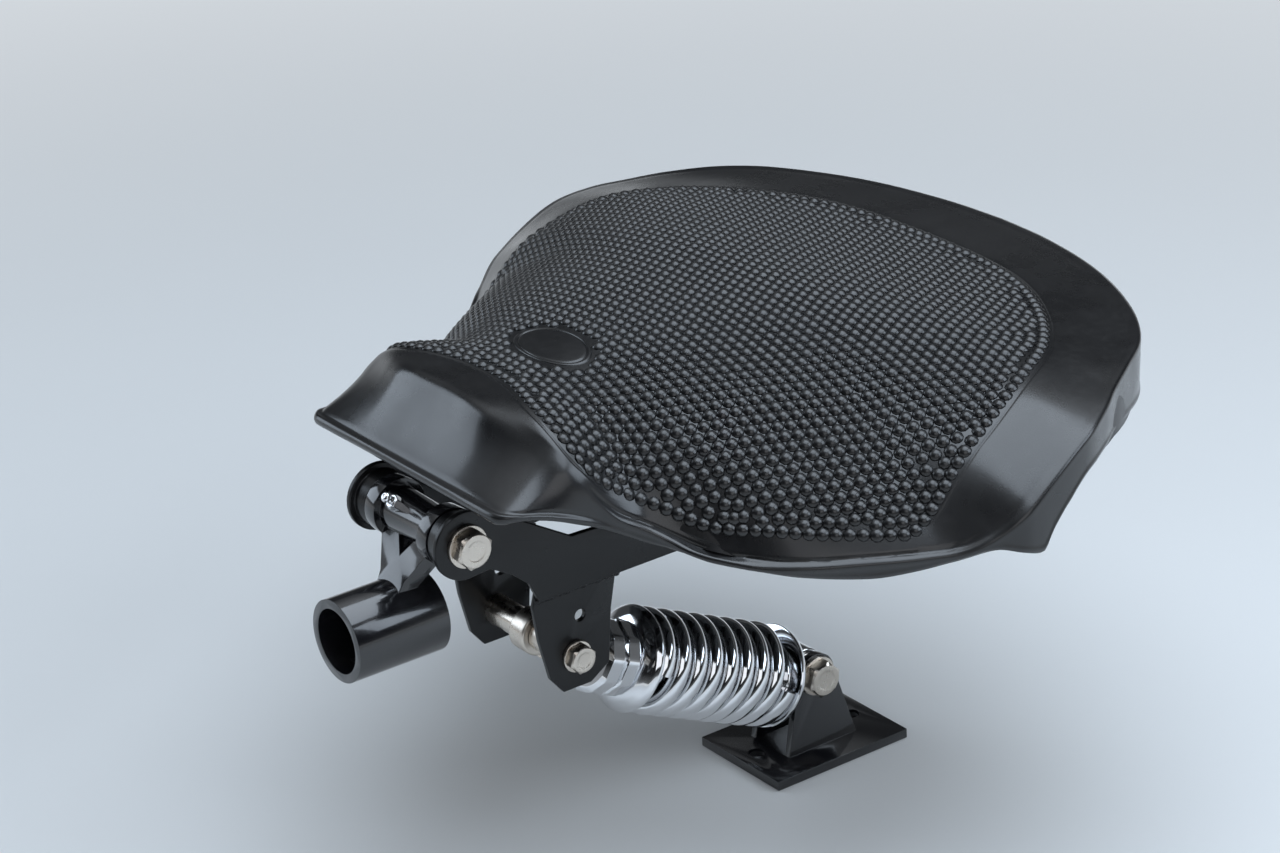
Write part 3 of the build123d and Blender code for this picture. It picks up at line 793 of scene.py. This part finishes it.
def nub_places(sizes):
    """Places and normals of the nubs: a row along the border, and the rest spread evenly over the top."""
    pitch = sizes.nub_pitch / MM
    border = rim_lines()[1]
    way = np.gradient(border, axis=0)
    way /= np.linalg.norm(way, axis=1)[:, None]
    inward = np.stack([way[:, 1], -way[:, 0]], 1)
    tilt = np.abs(top_height(*(border + inward).T) - top_height(*border.T))
    inset = border + inward * (FIRST_ROW * pitch / np.sqrt(1 + tilt ** 2))[:, None]
    inset[:, 1] = np.maximum(inset[:, 1], 0)

    edge = on_top(inset)
    run = run_along(edge)
    row = points_at(np.linspace(0, run[-1], int(run[-1] / pitch) + 1), run, edge)
    fixed = np.vstack([row, row[-2:0:-1] * np.array((1, -1, 1))])

    ring = np.vstack([inset, inset[-2:0:-1] * np.array((1, -1))])
    free = []
    lo, hi, wide = inset[:, 0].min(), inset[:, 0].max(), inset[:, 1].max()
    for odd, x in enumerate(np.arange(lo + 0.9 * pitch, hi - 0.7 * pitch, ROW_STEP * pitch)):
        ys = np.linspace(0, wide, 260)
        arc = np.concatenate([[0], np.cumsum(np.hypot(np.diff(ys), np.diff(top_height(x, ys))))])
        at = np.arange(0.5 * pitch * (odd % 2), arc[-1], pitch)
        for y in np.interp(at, arc, ys):
            free += [(x, y), (x, -y)] if y > 0.1 else [(x, 0.0)]
    free = on_top(inside(np.array(free), ring))
    points = np.vstack([fixed, apart_from(fixed, free, ROW_ROOM * pitch)])
    xs, ys = np.meshgrid(np.arange(lo, hi, SPOTS[0]), np.arange(-wide, wide, SPOTS[1]))
    spots = on_top(inside(np.column_stack([xs.ravel(), ys.ravel()]), ring))
    for share, rounds in NUB_ROUNDS:
        points = filled(points, spots, share * pitch)
        points = spread_out(points, len(fixed), pitch * PUSH_REACH, rounds)
    points = filled(points, spots, LAST_ROOM * pitch)
    away = np.hypot((points[:, 0] - sizes.patch_at / MM) / (sizes.patch_long / MM + PATCH_MARGIN),
                    points[:, 1] / (sizes.patch_wide / MM + PATCH_MARGIN))
    points = points[away > 1]
    return points, top_normal(points[:, 0], points[:, 1])


# Materials

FINISHES = {"rubber": "moulded rubber", "painted_steel": "semi-gloss paint", "lug_enamel": "gloss enamel",
            "bolts": "nickel plate", "spring_chrome": "polished chrome"}


def finish_of(slot):
    """The material of a slot."""
    return bpy.data.materials[FINISHES[slot]]


def shader_group(name, inputs, outputs):
    """A shader node group with named sockets, its adder, its inputs and its end."""
    tree = bpy.data.node_groups.new(name, "ShaderNodeTree")
    for label, value in inputs.items():
        tree.interface.new_socket(label, in_out="INPUT", socket_type="NodeSocketFloat").default_value = value
    for label in outputs:
        tree.interface.new_socket(label, in_out="OUTPUT", socket_type="NodeSocketFloat")
    add = adder(tree)
    return tree, add, add("NodeGroupInput").outputs, add("NodeGroupOutput")


def object_place(add):
    return add("ShaderNodeTexCoord").outputs["Object"]


def noise(add, scale, detail):
    return add("ShaderNodeTexNoise", {"Vector": object_place(add), "Scale": scale, "Detail": detail})


def mixed(add, share, colour, other):
    mix = add("ShaderNodeMix", {"Factor": share, "A": (*colour, 1), "B": (*other, 1)}, data_type="RGBA")
    return mix.outputs["Result"]


def spread(add, source, low, high):
    """Maps a value from low..high to 0..1."""
    return add("ShaderNodeMapRange", {"Value": source, "From Min": low, "From Max": high})


def grain_group():
    """Fine grain: a height for a bump and a slower patchy value."""
    tree, add, given, end = shader_group(
        "Grain", {"Scale": 900.0, "Patch Scale": 18.0}, ["Height", "Patches"])
    fine, slow = noise(add, given["Scale"], 3.0), noise(add, given["Patch Scale"], 4.0)
    fill(end, {"Height": fine, "Patches": spread(add, slow, 0.36, 0.64)})
    return tree


def dust_group():
    """Dust that settles on faces that look upwards, as a mask."""
    tree, add, given, end = shader_group("Dust", {"Amount": 0.5, "Scale": 60.0}, ["Mask"])
    speck = spread(add, noise(add, given["Scale"], 8.0), 0.45, 0.8)
    way = add("ShaderNodeSeparateXYZ", {0: add("ShaderNodeNewGeometry").outputs["Normal"]}).outputs
    settled = maths(add, "MULTIPLY", speck, spread(add, way["Z"], 0.2, 1.0))
    fill(end, {"Mask": maths(add, "MULTIPLY", settled, given["Amount"])})
    return tree


def scratch_group():
    """Hairline scratches and turning marks, as a height."""
    tree, add, given, end = shader_group("Scratches", {"Scale": 260.0, "Stretch": 9.0}, ["Height"])
    ratio = add("ShaderNodeCombineXYZ", {"X": 1.0, "Y": given["Stretch"], "Z": 1.0})
    turn = add("ShaderNodeMapping", {
        "Vector": object_place(add), "Scale": ratio, "Rotation": (0.3, 0.0, 0.5)})
    marks = add("ShaderNodeTexNoise", {"Vector": turn, "Scale": given["Scale"], "Detail": 5.0})
    fill(end, {"Height": marks})
    return tree


def material(slot, groups, colour, rough, dust, grain, bump, metallic=0.0, coat=0.0, coat_rough=0.05,
             specular=0.5, dust_colour=(0.08, 0.075, 0.07), scratched=0.0):
    """A slot's Principled material, with grain, patchy roughness, dust and scratches.

    rough goes from the smooth patches to the rough ones, dust is an amount and a scale, and grain the
    scales of the fine grain and of the patches."""
    mat = bpy.data.materials.new(FINISHES[slot])
    mat.use_nodes = True
    add = adder(mat.node_tree)
    texture = add("ShaderNodeGroup", {"Scale": grain[0], "Patch Scale": grain[1]},
                  node_tree=groups["grain"]).outputs
    sheen = add("ShaderNodeMapRange", {"Value": texture["Patches"], "To Min": rough[0], "To Max": rough[1]})
    dirt = add("ShaderNodeGroup", {"Amount": dust[0], "Scale": dust[1]}, node_tree=groups["dust"])
    shade = mixed(add, dirt, colour, dust_colour)
    dull = maths(add, "ADD", sheen, dirt, clamp=True)
    height = texture["Height"]
    if scratched:
        lines = add("ShaderNodeGroup", node_tree=groups["scratches"])
        height = maths(add, "MULTIPLY_ADD", lines, scratched, height)
    relief = add("ShaderNodeBump", {"Strength": bump, "Distance": 0.5 * MM, "Height": height})
    fill(mat.node_tree.nodes["Principled BSDF"], {
        "Base Color": shade, "Roughness": dull, "Normal": relief, "Metallic": metallic,
        "Coat Weight": coat, "Coat Roughness": coat_rough, "Specular IOR Level": specular})


class SADDLE_OT_finishes(bpy.types.Operator):
    """Make the rubber, paint, enamel, nickel and chrome, and put them on the solids"""
    bl_idname = "saddle.finishes"
    bl_label = "Finishes"

    def execute(self, context):
        tone = context.scene.saddle_finish
        groups = {"grain": grain_group(), "dust": dust_group(), "scratches": scratch_group()}
        material("rubber", groups, tone.rubber, rough=(0.24, 0.34), coat=0.35, coat_rough=0.17,
                 dust=(0.05, 240.0), dust_colour=tone.rubber_dust, grain=(1400.0, 34.0), bump=0.10)
        material("painted_steel", groups, tone.paint, rough=(0.26, 0.36), coat=0.12, coat_rough=0.12,
                 specular=0.3, dust=(0.12, 60.0), grain=(500.0, 30.0), bump=0.10)
        material("lug_enamel", groups, tone.enamel, rough=(0.12, 0.2), coat=0.7, dust=(0.15, 60.0),
                 grain=(220.0, 25.0), bump=0.10)
        material("bolts", groups, tone.nickel, rough=(0.22, 0.36), metallic=1.0, dust=(0.05, 60.0),
                 grain=(1800.0, 120.0), bump=0.06, scratched=1.5)
        material("spring_chrome", groups, tone.chrome, rough=(0.05, 0.12), metallic=1.0, dust=(0.03, 60.0),
                 grain=(300.0, 60.0), bump=0.015, scratched=0.4)
        for row in frame["record"]["subparts"]:
            mesh = frame["nodes"][row["node"]].data
            mesh.materials.clear()
            mesh.materials.append(finish_of(row["material_slot"]))
        return {"FINISHED"}


# Pieces

class SADDLE_OT_cover(bpy.types.Operator):
    """Skin the rubber cover: top, wings, nose apron, lip and skirt"""
    bl_idname = "saddle.cover"
    bl_label = "Rubber cover"

    def execute(self, context):
        rings = [placed(ring) for ring in cover_rings(context.scene.saddle_cover)]
        piece("saddle_rubber", loft(rings), "saddle", "rubber", "saddle_cover", sharp=60)
        return {"FINISHED"}


class SADDLE_OT_nubs(bpy.types.Operator):
    """Stand the round nubs on the cover"""
    bl_idname = "saddle.nubs"
    bl_label = "Nubs"

    def execute(self, context):
        sizes = context.scene.saddle_cover
        points, normal = nub_places(sizes)
        seeds = bpy.data.meshes.new("nub_seeds")
        seeds.from_pydata([tuple(p) for p in placed(points - normal * NUB_SUNK)], [], [])
        lean = seeds.attributes.new("lean", "FLOAT_VECTOR", "POINT")
        lean.data.foreach_set("vector", normal.astype(np.float32).ravel())
        piece("rubber_nubs", grown("rubber_nubs", seeds, nub_tree(), {
            "Radius": sizes.nub_radius, "Height": sizes.nub_height, "Variation": 0.05, "Seed": 7,
            "Material": finish_of("rubber")}), "saddle", "rubber")
        return {"FINISHED"}


# The plain patch from its middle out: how much of its half size, and how high over the top there
PATCH_LINE = [(0, 0.8), (0.80, 0.65), (0.84, 0.55), (0.87, 0.1), (0.90, 0.55), (0.94, 0.65), (0.98, 0.3),
              (1.0, -0.4)]
PATCH_RINGS = [0.05, 0.2, 0.4, 0.6, 0.75, 0.8, 0.83, 0.85, 0.87, 0.89, 0.91, 0.94, 0.96, 0.98, 0.99, 1.0]
PATCH_BACK = [(0.97, -1.0), (0.5, -1.0), (0.05, -1.0)]


class SADDLE_OT_patch(bpy.types.Operator):
    """Raise the plain oval patch on the nose, with a fine line inside its edge"""
    bl_idname = "saddle.patch"
    bl_label = "Plain patch"

    def execute(self, context):
        sizes = context.scene.saddle_cover
        line, = table_lines(PATCH_LINE)
        angle = np.linspace(0, 2 * pi, 120, endpoint=False)
        rings = []
        for share, rise in [(share, line(share)) for share in PATCH_RINGS] + PATCH_BACK:
            x = (sizes.patch_at + sizes.patch_long * share * np.cos(angle)) / MM
            y = sizes.patch_wide * share * np.sin(angle) / MM
            rings.append(placed(on_top(np.stack([x, y], 1)) + top_normal(x, y) * rise))
        piece("plain_patch", loft(rings), "saddle", "rubber", sharp=60)
        return {"FINISHED"}


def disc(radius, half, chamfer):
    """The profile of a chamfered disc round its own middle."""
    return [(0, -half), (radius - chamfer, -half), (radius, chamfer - half), (radius, half - chamfer),
            (radius - chamfer, half), (0, half)]


def pin_middle(pin):
    """Middle of a pin, from the box of the nut that lies on it."""
    lo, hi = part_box(f"{pin}_nut")
    middle = (Vector(lo) + Vector(hi)) / 2
    middle.y = 0.0
    return middle


class SADDLE_OT_spring(bpy.types.Operator):
    """Wind the coil and turn the cup, plug, nuts and rod"""
    bl_idname = "saddle.spring"
    bl_label = "Spring unit"

    def execute(self, context):
        sizes = context.scene.saddle_spring
        along = Vector(JOINTS["spring_stretch"]["axis"]).normalized()
        start = REAR_PIN - Vector((along.z, 0, -along.x)) * sizes.below
        gap = 0.1 * MM  # between the wire and its seats
        mesh = grown("coil_spring", bpy.data.meshes.new("coil_seed"), coil_tree(), {
            "Turns": sizes.turns, "Radius": sizes.radius, "Wire": sizes.wire,
            "Rise": sizes.length - 2 * sizes.wire - 2 * gap, "Material": finish_of("spring_chrome")})
        base = start + along * (sizes.start + sizes.wire + gap)
        mesh.transform(Matrix.Translation(base) @ along.to_track_quat("Z", "Y").to_matrix().to_4x4())
        coil = piece("coil_spring", mesh, None, "spring_chrome")
        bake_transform(coil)
        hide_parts("spring_coil")

        low, high = sizes.start / MM, (sizes.start + sizes.length) / MM  # the coil's seats
        plug = turned([(0, 4), (6.5, 4), (6.5, low - 7), (20, low - 6.5), (26, low - 3.5), (27, low),
                       (17.5, low), (17.5, low + 17), (15.5, low + 18), (0, low + 18)],
                      start, along, radius=1.5)
        eye = turned(disc(11, 7, 0.6), REAR_PIN, LEFT, radius=0.4)
        piece("spring_plug", joined(plug, eye), "spring_rear", "spring_chrome", "rear_plug")
        cup = turned([(0, high - 18), (15.5, high - 18), (17.5, high - 17), (17.5, high), (27, high),
                      (27, high + 1.2), (25.5, high + 3.4), (21.5, high + 5.8), (18.5, high + 7),
                      (0, high + 7)], start, along, radius=1.2)
        piece("spring_cup", cup, "spring_front", "spring_chrome", "front_cup")
        for name, node, place in (("lock_ring", "lock_nut", 7.0), ("adjusting_ring", "adjusting_nut", 17.0)):
            seat = high + place
            ring = turned([(0, seat), (16.5, seat), (19.6, seat + 1.6), (19.6, seat + 8.4),
                           (16.5, seat + 9.9), (0, seat + 9.9)],
                          start, along, sides=10, across=37.6, count=120, spin=pi / 20)
            piece(name, ring, "spring_front", "spring_chrome", node, sharp=28)

        lever = pin_middle("lever")
        end = (lever - REAR_PIN).length / MM - 8
        profile, place = [(0, high - 19), (4.4, high - 19)], high - 18.5
        while place < high + 38:
            profile += [(5.0, place), (4.5, place + 0.6)]
            place += THREAD_PITCH
        profile += [(5.0, place), (5.0, end), (0, end)]
        rod = turned(profile, start, along, count=32, radius=0.15)
        rod_eye = turned(disc(11, 6, 0.8), lever, LEFT, radius=0.4)
        piece("tension_eye_rod", joined(rod, rod_eye), "spring_front", "bolts", "tension_rod")
        return {"FINISHED"}


def bolt_and_nut(pin, seat, across, shank, head, nut, washer):
    """A hexagon bolt, its washers and its nut on a pin, as skins. seat is where the washers lie."""
    at, over = pin_middle(pin), across / 2
    face = seat + WASHER
    top, low = face + head, -(face + nut)
    end = low - BOLT_PAST
    hexagonal = dict(sides=6, across=across, count=96, radius=0.3)
    bolt = turned([(0, end), (shank - 1, end), (shank, end + 0.8), (shank, face), (over * 0.98, face),
                   (over * 1.2, face + 0.5), (over * 1.2, top - 1.5), (over * 0.93, top), (over * 0.62, top),
                   (over * 0.55, top - 0.25), (0, top - 0.25)], at, LEFT, spin=radians(17), **hexagonal)
    hole = shank + 0.3
    washers = [turned([(hole, side), (washer, side), (washer, side + WASHER), (hole, side + WASHER)],
                      at, LEFT, radius=0.5) for side in (seat, -face)]
    hexagon = turned([(shank, low), (over * 0.92, low), (over * 1.2, low + 1.6), (over * 1.2, -face - 1.2),
                      (over * 0.95, -face), (shank, -face)], at, LEFT, spin=radians(9), **hexagonal)
    return bolt, joined(*washers), hexagon


class SADDLE_OT_bolts(bpy.types.Operator):
    """Turn the three hexagon bolts with their washers and nuts"""
    bl_idname = "saddle.bolts"
    bl_label = "Bolts and washers"

    def execute(self, context):
        for pin, body, *size in BOLTS:
            names = (("hex_bolt", "bolt"), ("flat_washers", "washers"), ("hex_nut", "nut"))
            for (name, node), skin in zip(names, bolt_and_nut(pin, *size)):
                piece(f"{pin}_{name}", skin, body, "bolts", f"{pin}_{node}", sharp=30)
        return {"FINISHED"}


def softened(node, width):
    """A copy of a solid with its doubles merged, its flat faces joined and its edges rounded."""
    bm = bmesh.new()
    bm.from_mesh(frame["nodes"][node].data)
    bmesh.ops.remove_doubles(bm, verts=bm.verts, dist=SAME)
    bmesh.ops.dissolve_limit(bm, angle_limit=radians(0.5), verts=bm.verts, edges=bm.edges)
    mesh = bpy.data.meshes.new(node + "_soft")
    bm.to_mesh(mesh)
    bm.free()
    obj = linked(node + "_soft", mesh)
    bevel = obj.modifiers.new("edges", "BEVEL")
    bevel.width, bevel.segments, bevel.limit_method = width * MM, 3, "ANGLE"
    bevel.angle_limit = radians(28)
    out = converted(obj)
    out.shade_smooth()
    out.set_sharp_from_angle(angle=radians(32))
    return out


class SADDLE_OT_plates(bpy.types.Operator):
    """Round the edges of the side plates, lever lugs, cross tube, pan ribs, frame lug and anchor"""
    bl_idname = "saddle.plates"
    bl_label = "Plates and lugs"

    def execute(self, context):
        for node, name, body, slot, width in ROUNDED:
            piece(name, softened(node, width), body, slot, node)
        return {"FINISHED"}


class SADDLE_OT_nipple(bpy.types.Operator):
    """Turn the grease nipple on the barrel"""
    bl_idname = "saddle.nipple"
    bl_label = "Grease nipple"

    def execute(self, context):
        foot, way = PIVOT + Vector((-7.7, 6.0, 7.7)) * MM, Vector((-1, 0, 1))
        skin = turned([(0, 0), (3.6, 0), (3.6, 4.6), (3.0, 5.2), (2.0, 5.2), (2.0, 6.6), (1.7, 7.4),
                       (2.3, 8.2), (2.6, 9.0), (2.3, 9.9), (1.5, 10.5), (0.9, 10.5), (0.5, 10.2), (0, 10.2)],
                      foot, way, sides=6, across=6.2, count=60, radius=0.25)
        piece("turned_grease_nipple", skin, "frame", "bolts", "grease_nipple", finish="spring_chrome")
        return {"FINISHED"}


class SADDLE_OT_welds(bpy.types.Operator):
    """Lay the weld beads where the lever lugs lap the side plates"""
    bl_idname = "saddle.welds"
    bl_label = "Weld beads"

    def execute(self, context):
        tree = weld_tree()
        for name, side in (("left_weld", -1), ("right_weld", 1)):
            line = placed([(x, side * 34.7, -42.4 - 0.25 * sin(x * 0.7)) for x in np.linspace(39, 84, 24)])
            seeds = bpy.data.meshes.new(name + "_line")
            seeds.from_pydata([tuple(p) for p in line], [(i, i + 1) for i in range(len(line) - 1)], [])
            piece(name, grown(name, seeds, tree, {
                "Bead": 1.9 * MM, "Step": 1.7 * MM, "Seed": 3, "Material": finish_of("painted_steel")}),
                "saddle", "painted_steel")
        return {"FINISHED"}


# Camera, floor and light

def stage_camera(settings):
    """The photograph's camera, from its angles and the pivot's place in the picture."""
    a, e, roll = settings.azimuth, settings.elevation, settings.roll
    away = Vector((-sin(a) * cos(e), -cos(a) * cos(e), sin(e)))
    level = Vector((cos(a), -sin(a), 0))
    upright = Vector((sin(a) * sin(e), cos(a) * sin(e), cos(e)))
    right = level * cos(roll) + upright * sin(roll)
    up = upright * cos(roll) - level * sin(roll)
    focal = settings.lens * PICTURE[0] / SENSOR
    ray = (-away * focal + right * (settings.pivot_across - PICTURE[0] / 2)
           + up * (PICTURE[1] / 2 - settings.pivot_down))
    data = bpy.data.cameras.new("camera")
    data.sensor_width, data.lens = SENSOR, settings.lens
    data.clip_start, data.clip_end = 0.05, 50.0
    camera = linked("camera", data)
    camera.matrix_world = Matrix((right, up, away)).transposed().to_4x4()
    camera.location = PIVOT - ray * (settings.distance / focal)
    bpy.context.scene.camera = camera


def area_lamp(name, place, aim, size, power, colour):
    data = bpy.data.lights.new(name, "AREA")
    data.shape, data.size, data.size_y = "RECTANGLE", *size
    data.energy, data.color = power, colour
    lamp = linked(name, data)
    lamp.location = place
    lamp.rotation_mode = "QUATERNION"
    lamp.rotation_quaternion = (aim - place).to_track_quat("-Z", "Y")


def ray_masks(add):
    """Masks of the rays from the camera, of those from a gloss or a glass, and of both."""
    ray = add("ShaderNodeLightPath").outputs
    shiny = maths(add, "MAXIMUM", ray["Is Glossy Ray"], ray["Is Transmission Ray"])
    both = maths(add, "MAXIMUM", ray["Is Camera Ray"], shiny)
    return ray["Is Camera Ray"], shiny, both


def studio_world():
    """A soft studio: plain light, and a pale surround where the camera or a gloss looks at it."""
    world = bpy.data.worlds.new("studio")
    bpy.context.scene.world = world
    world.use_nodes = True
    tree = world.node_tree
    add = adder(tree)
    light = fill(tree.nodes["Background"], {"Color": (0.86, 0.93, 1.0, 1), "Strength": WORLD_LEVEL})
    plain = add("ShaderNodeBackground", {"Color": (*FAR_TONE, 1)})
    way = add("ShaderNodeTexCoord").outputs["Generated"]
    ramp = add("ShaderNodeValToRGB", {"Fac": add("ShaderNodeSeparateXYZ", {0: way}).outputs["Z"]})
    while len(ramp.color_ramp.elements) < len(SURROUND):
        ramp.color_ramp.elements.new(0.5)
    for stop, (place, level) in zip(ramp.color_ramp.elements, SURROUND):
        stop.position, stop.color = place, (level * 0.90, level * 0.95, level, 1)
    side = add("ShaderNodeVectorMath", {0: way, 1: BRIGHT_SIDE}, operation="DOT_PRODUCT").outputs["Value"]
    shade = add("ShaderNodeMapRange", {
        "Value": side, "From Min": -0.6, "From Max": 0.1, "To Min": 0.25, "To Max": 1.0})
    gloss = add("ShaderNodeBackground", {"Color": ramp, "Strength": shade})
    from_camera, shiny, _ = ray_masks(add)
    unseen = add("ShaderNodeMixShader", {"Fac": shiny, 1: light, 2: gloss})
    whole = add("ShaderNodeMixShader", {"Fac": from_camera, 1: unseen, 2: plain})
    fill(tree.nodes["World Output"], {"Surface": whole})


def floor_material(colour):
    """The pale floor, which runs out to the surround's tone where it's seen or mirrored far away."""
    mat = bpy.data.materials.new("pale floor")
    mat.use_nodes = True
    tree = mat.node_tree
    add = adder(tree)
    tint = mixed(add, noise(add, 5.0, 3.0), colour, [c * 0.97 for c in colour])
    shader = fill(tree.nodes["Principled BSDF"], {
        "Roughness": 0.85, "Specular IOR Level": 0.15, "Base Color": tint})
    pale = add("ShaderNodeEmission", {"Color": (*FAR_TONE, 1)})
    away = add("ShaderNodeVectorMath", {0: object_place(add)}, operation="LENGTH").outputs["Value"]
    far = add("ShaderNodeMapRange", {"Value": away, "From Min": FAR_FROM, "From Max": FAR_FULL},
              interpolation_type="SMOOTHERSTEP")
    share = maths(add, "MULTIPLY", far, ray_masks(add)[2])
    blend = add("ShaderNodeMixShader", {"Fac": share, 1: shader, 2: pale})
    fill(tree.nodes["Material Output"], {"Surface": blend})
    return mat


class SADDLE_OT_stage(bpy.types.Operator):
    """Set the camera, the pale floor, the soft lamps and the surround"""
    bl_idname = "saddle.stage"
    bl_label = "Camera, floor and light"

    def execute(self, context):
        settings = context.scene.saddle_stage
        stage_camera(settings)
        low = CAD_BOX[0].z - 0.5 * MM
        corners = [(x * FLOOR_REACH, y * FLOOR_REACH, low) for x, y in ((-1, -1), (1, -1), (1, 1), (-1, 1))]
        mesh = bpy.data.meshes.new("floor")
        mesh.from_pydata(corners, [], [(0, 1, 2, 3)])
        mesh.materials.append(floor_material(settings.floor))
        floor = linked("floor", mesh)
        studio_world()
        aim = PIVOT + Vector((0.17, 0, 0))
        for name, place, size, power, colour in LAMPS:
            area_lamp(name, aim + Vector(place), aim, size, power, colour)
        context.scene.view_settings.view_transform = "Standard"
        return {"FINISHED"}


class SADDLE_PT_panel(bpy.types.Panel):
    """Lists the saddle's pieces and their sizes"""
    bl_idname = "SADDLE_PT_panel"
    bl_label = "Sprung saddle"
    bl_space_type = "VIEW_3D"
    bl_region_type = "UI"
    bl_category = "Saddle"

    def draw(self, context):
        for group in GROUPS:
            box = self.layout.box()
            settings = getattr(context.scene, group)
            for name in settings.bl_rna.properties.keys():
                if name not in ("rna_type", "name"):
                    box.prop(settings, name)
        for operator in PIECES:
            self.layout.operator(operator.bl_idname)


GROUPS = {"saddle_cover": CoverSizes, "saddle_spring": SpringSizes, "saddle_finish": FinishColours,
          "saddle_stage": StageSettings}
PIECES = [SADDLE_OT_finishes, SADDLE_OT_cover, SADDLE_OT_nubs, SADDLE_OT_patch, SADDLE_OT_spring,
          SADDLE_OT_bolts, SADDLE_OT_plates, SADDLE_OT_nipple, SADDLE_OT_welds, SADDLE_OT_stage]


def register():
    for cls in [*GROUPS.values(), *PIECES, SADDLE_PT_panel]:
        bpy.utils.register_class(cls)
    for name, cls in GROUPS.items():
        setattr(bpy.types.Scene, name, bpy.props.PointerProperty(type=cls))


def unregister():
    for name in GROUPS:
        delattr(bpy.types.Scene, name)
    for cls in reversed([*GROUPS.values(), *PIECES, SADDLE_PT_panel]):
        bpy.utils.unregister_class(cls)


def main():
    register()
    for operator in PIECES:
        group, name = operator.bl_idname.split(".")
        getattr(getattr(bpy.ops, group), name)()


if __name__ == "__main__":
    main()
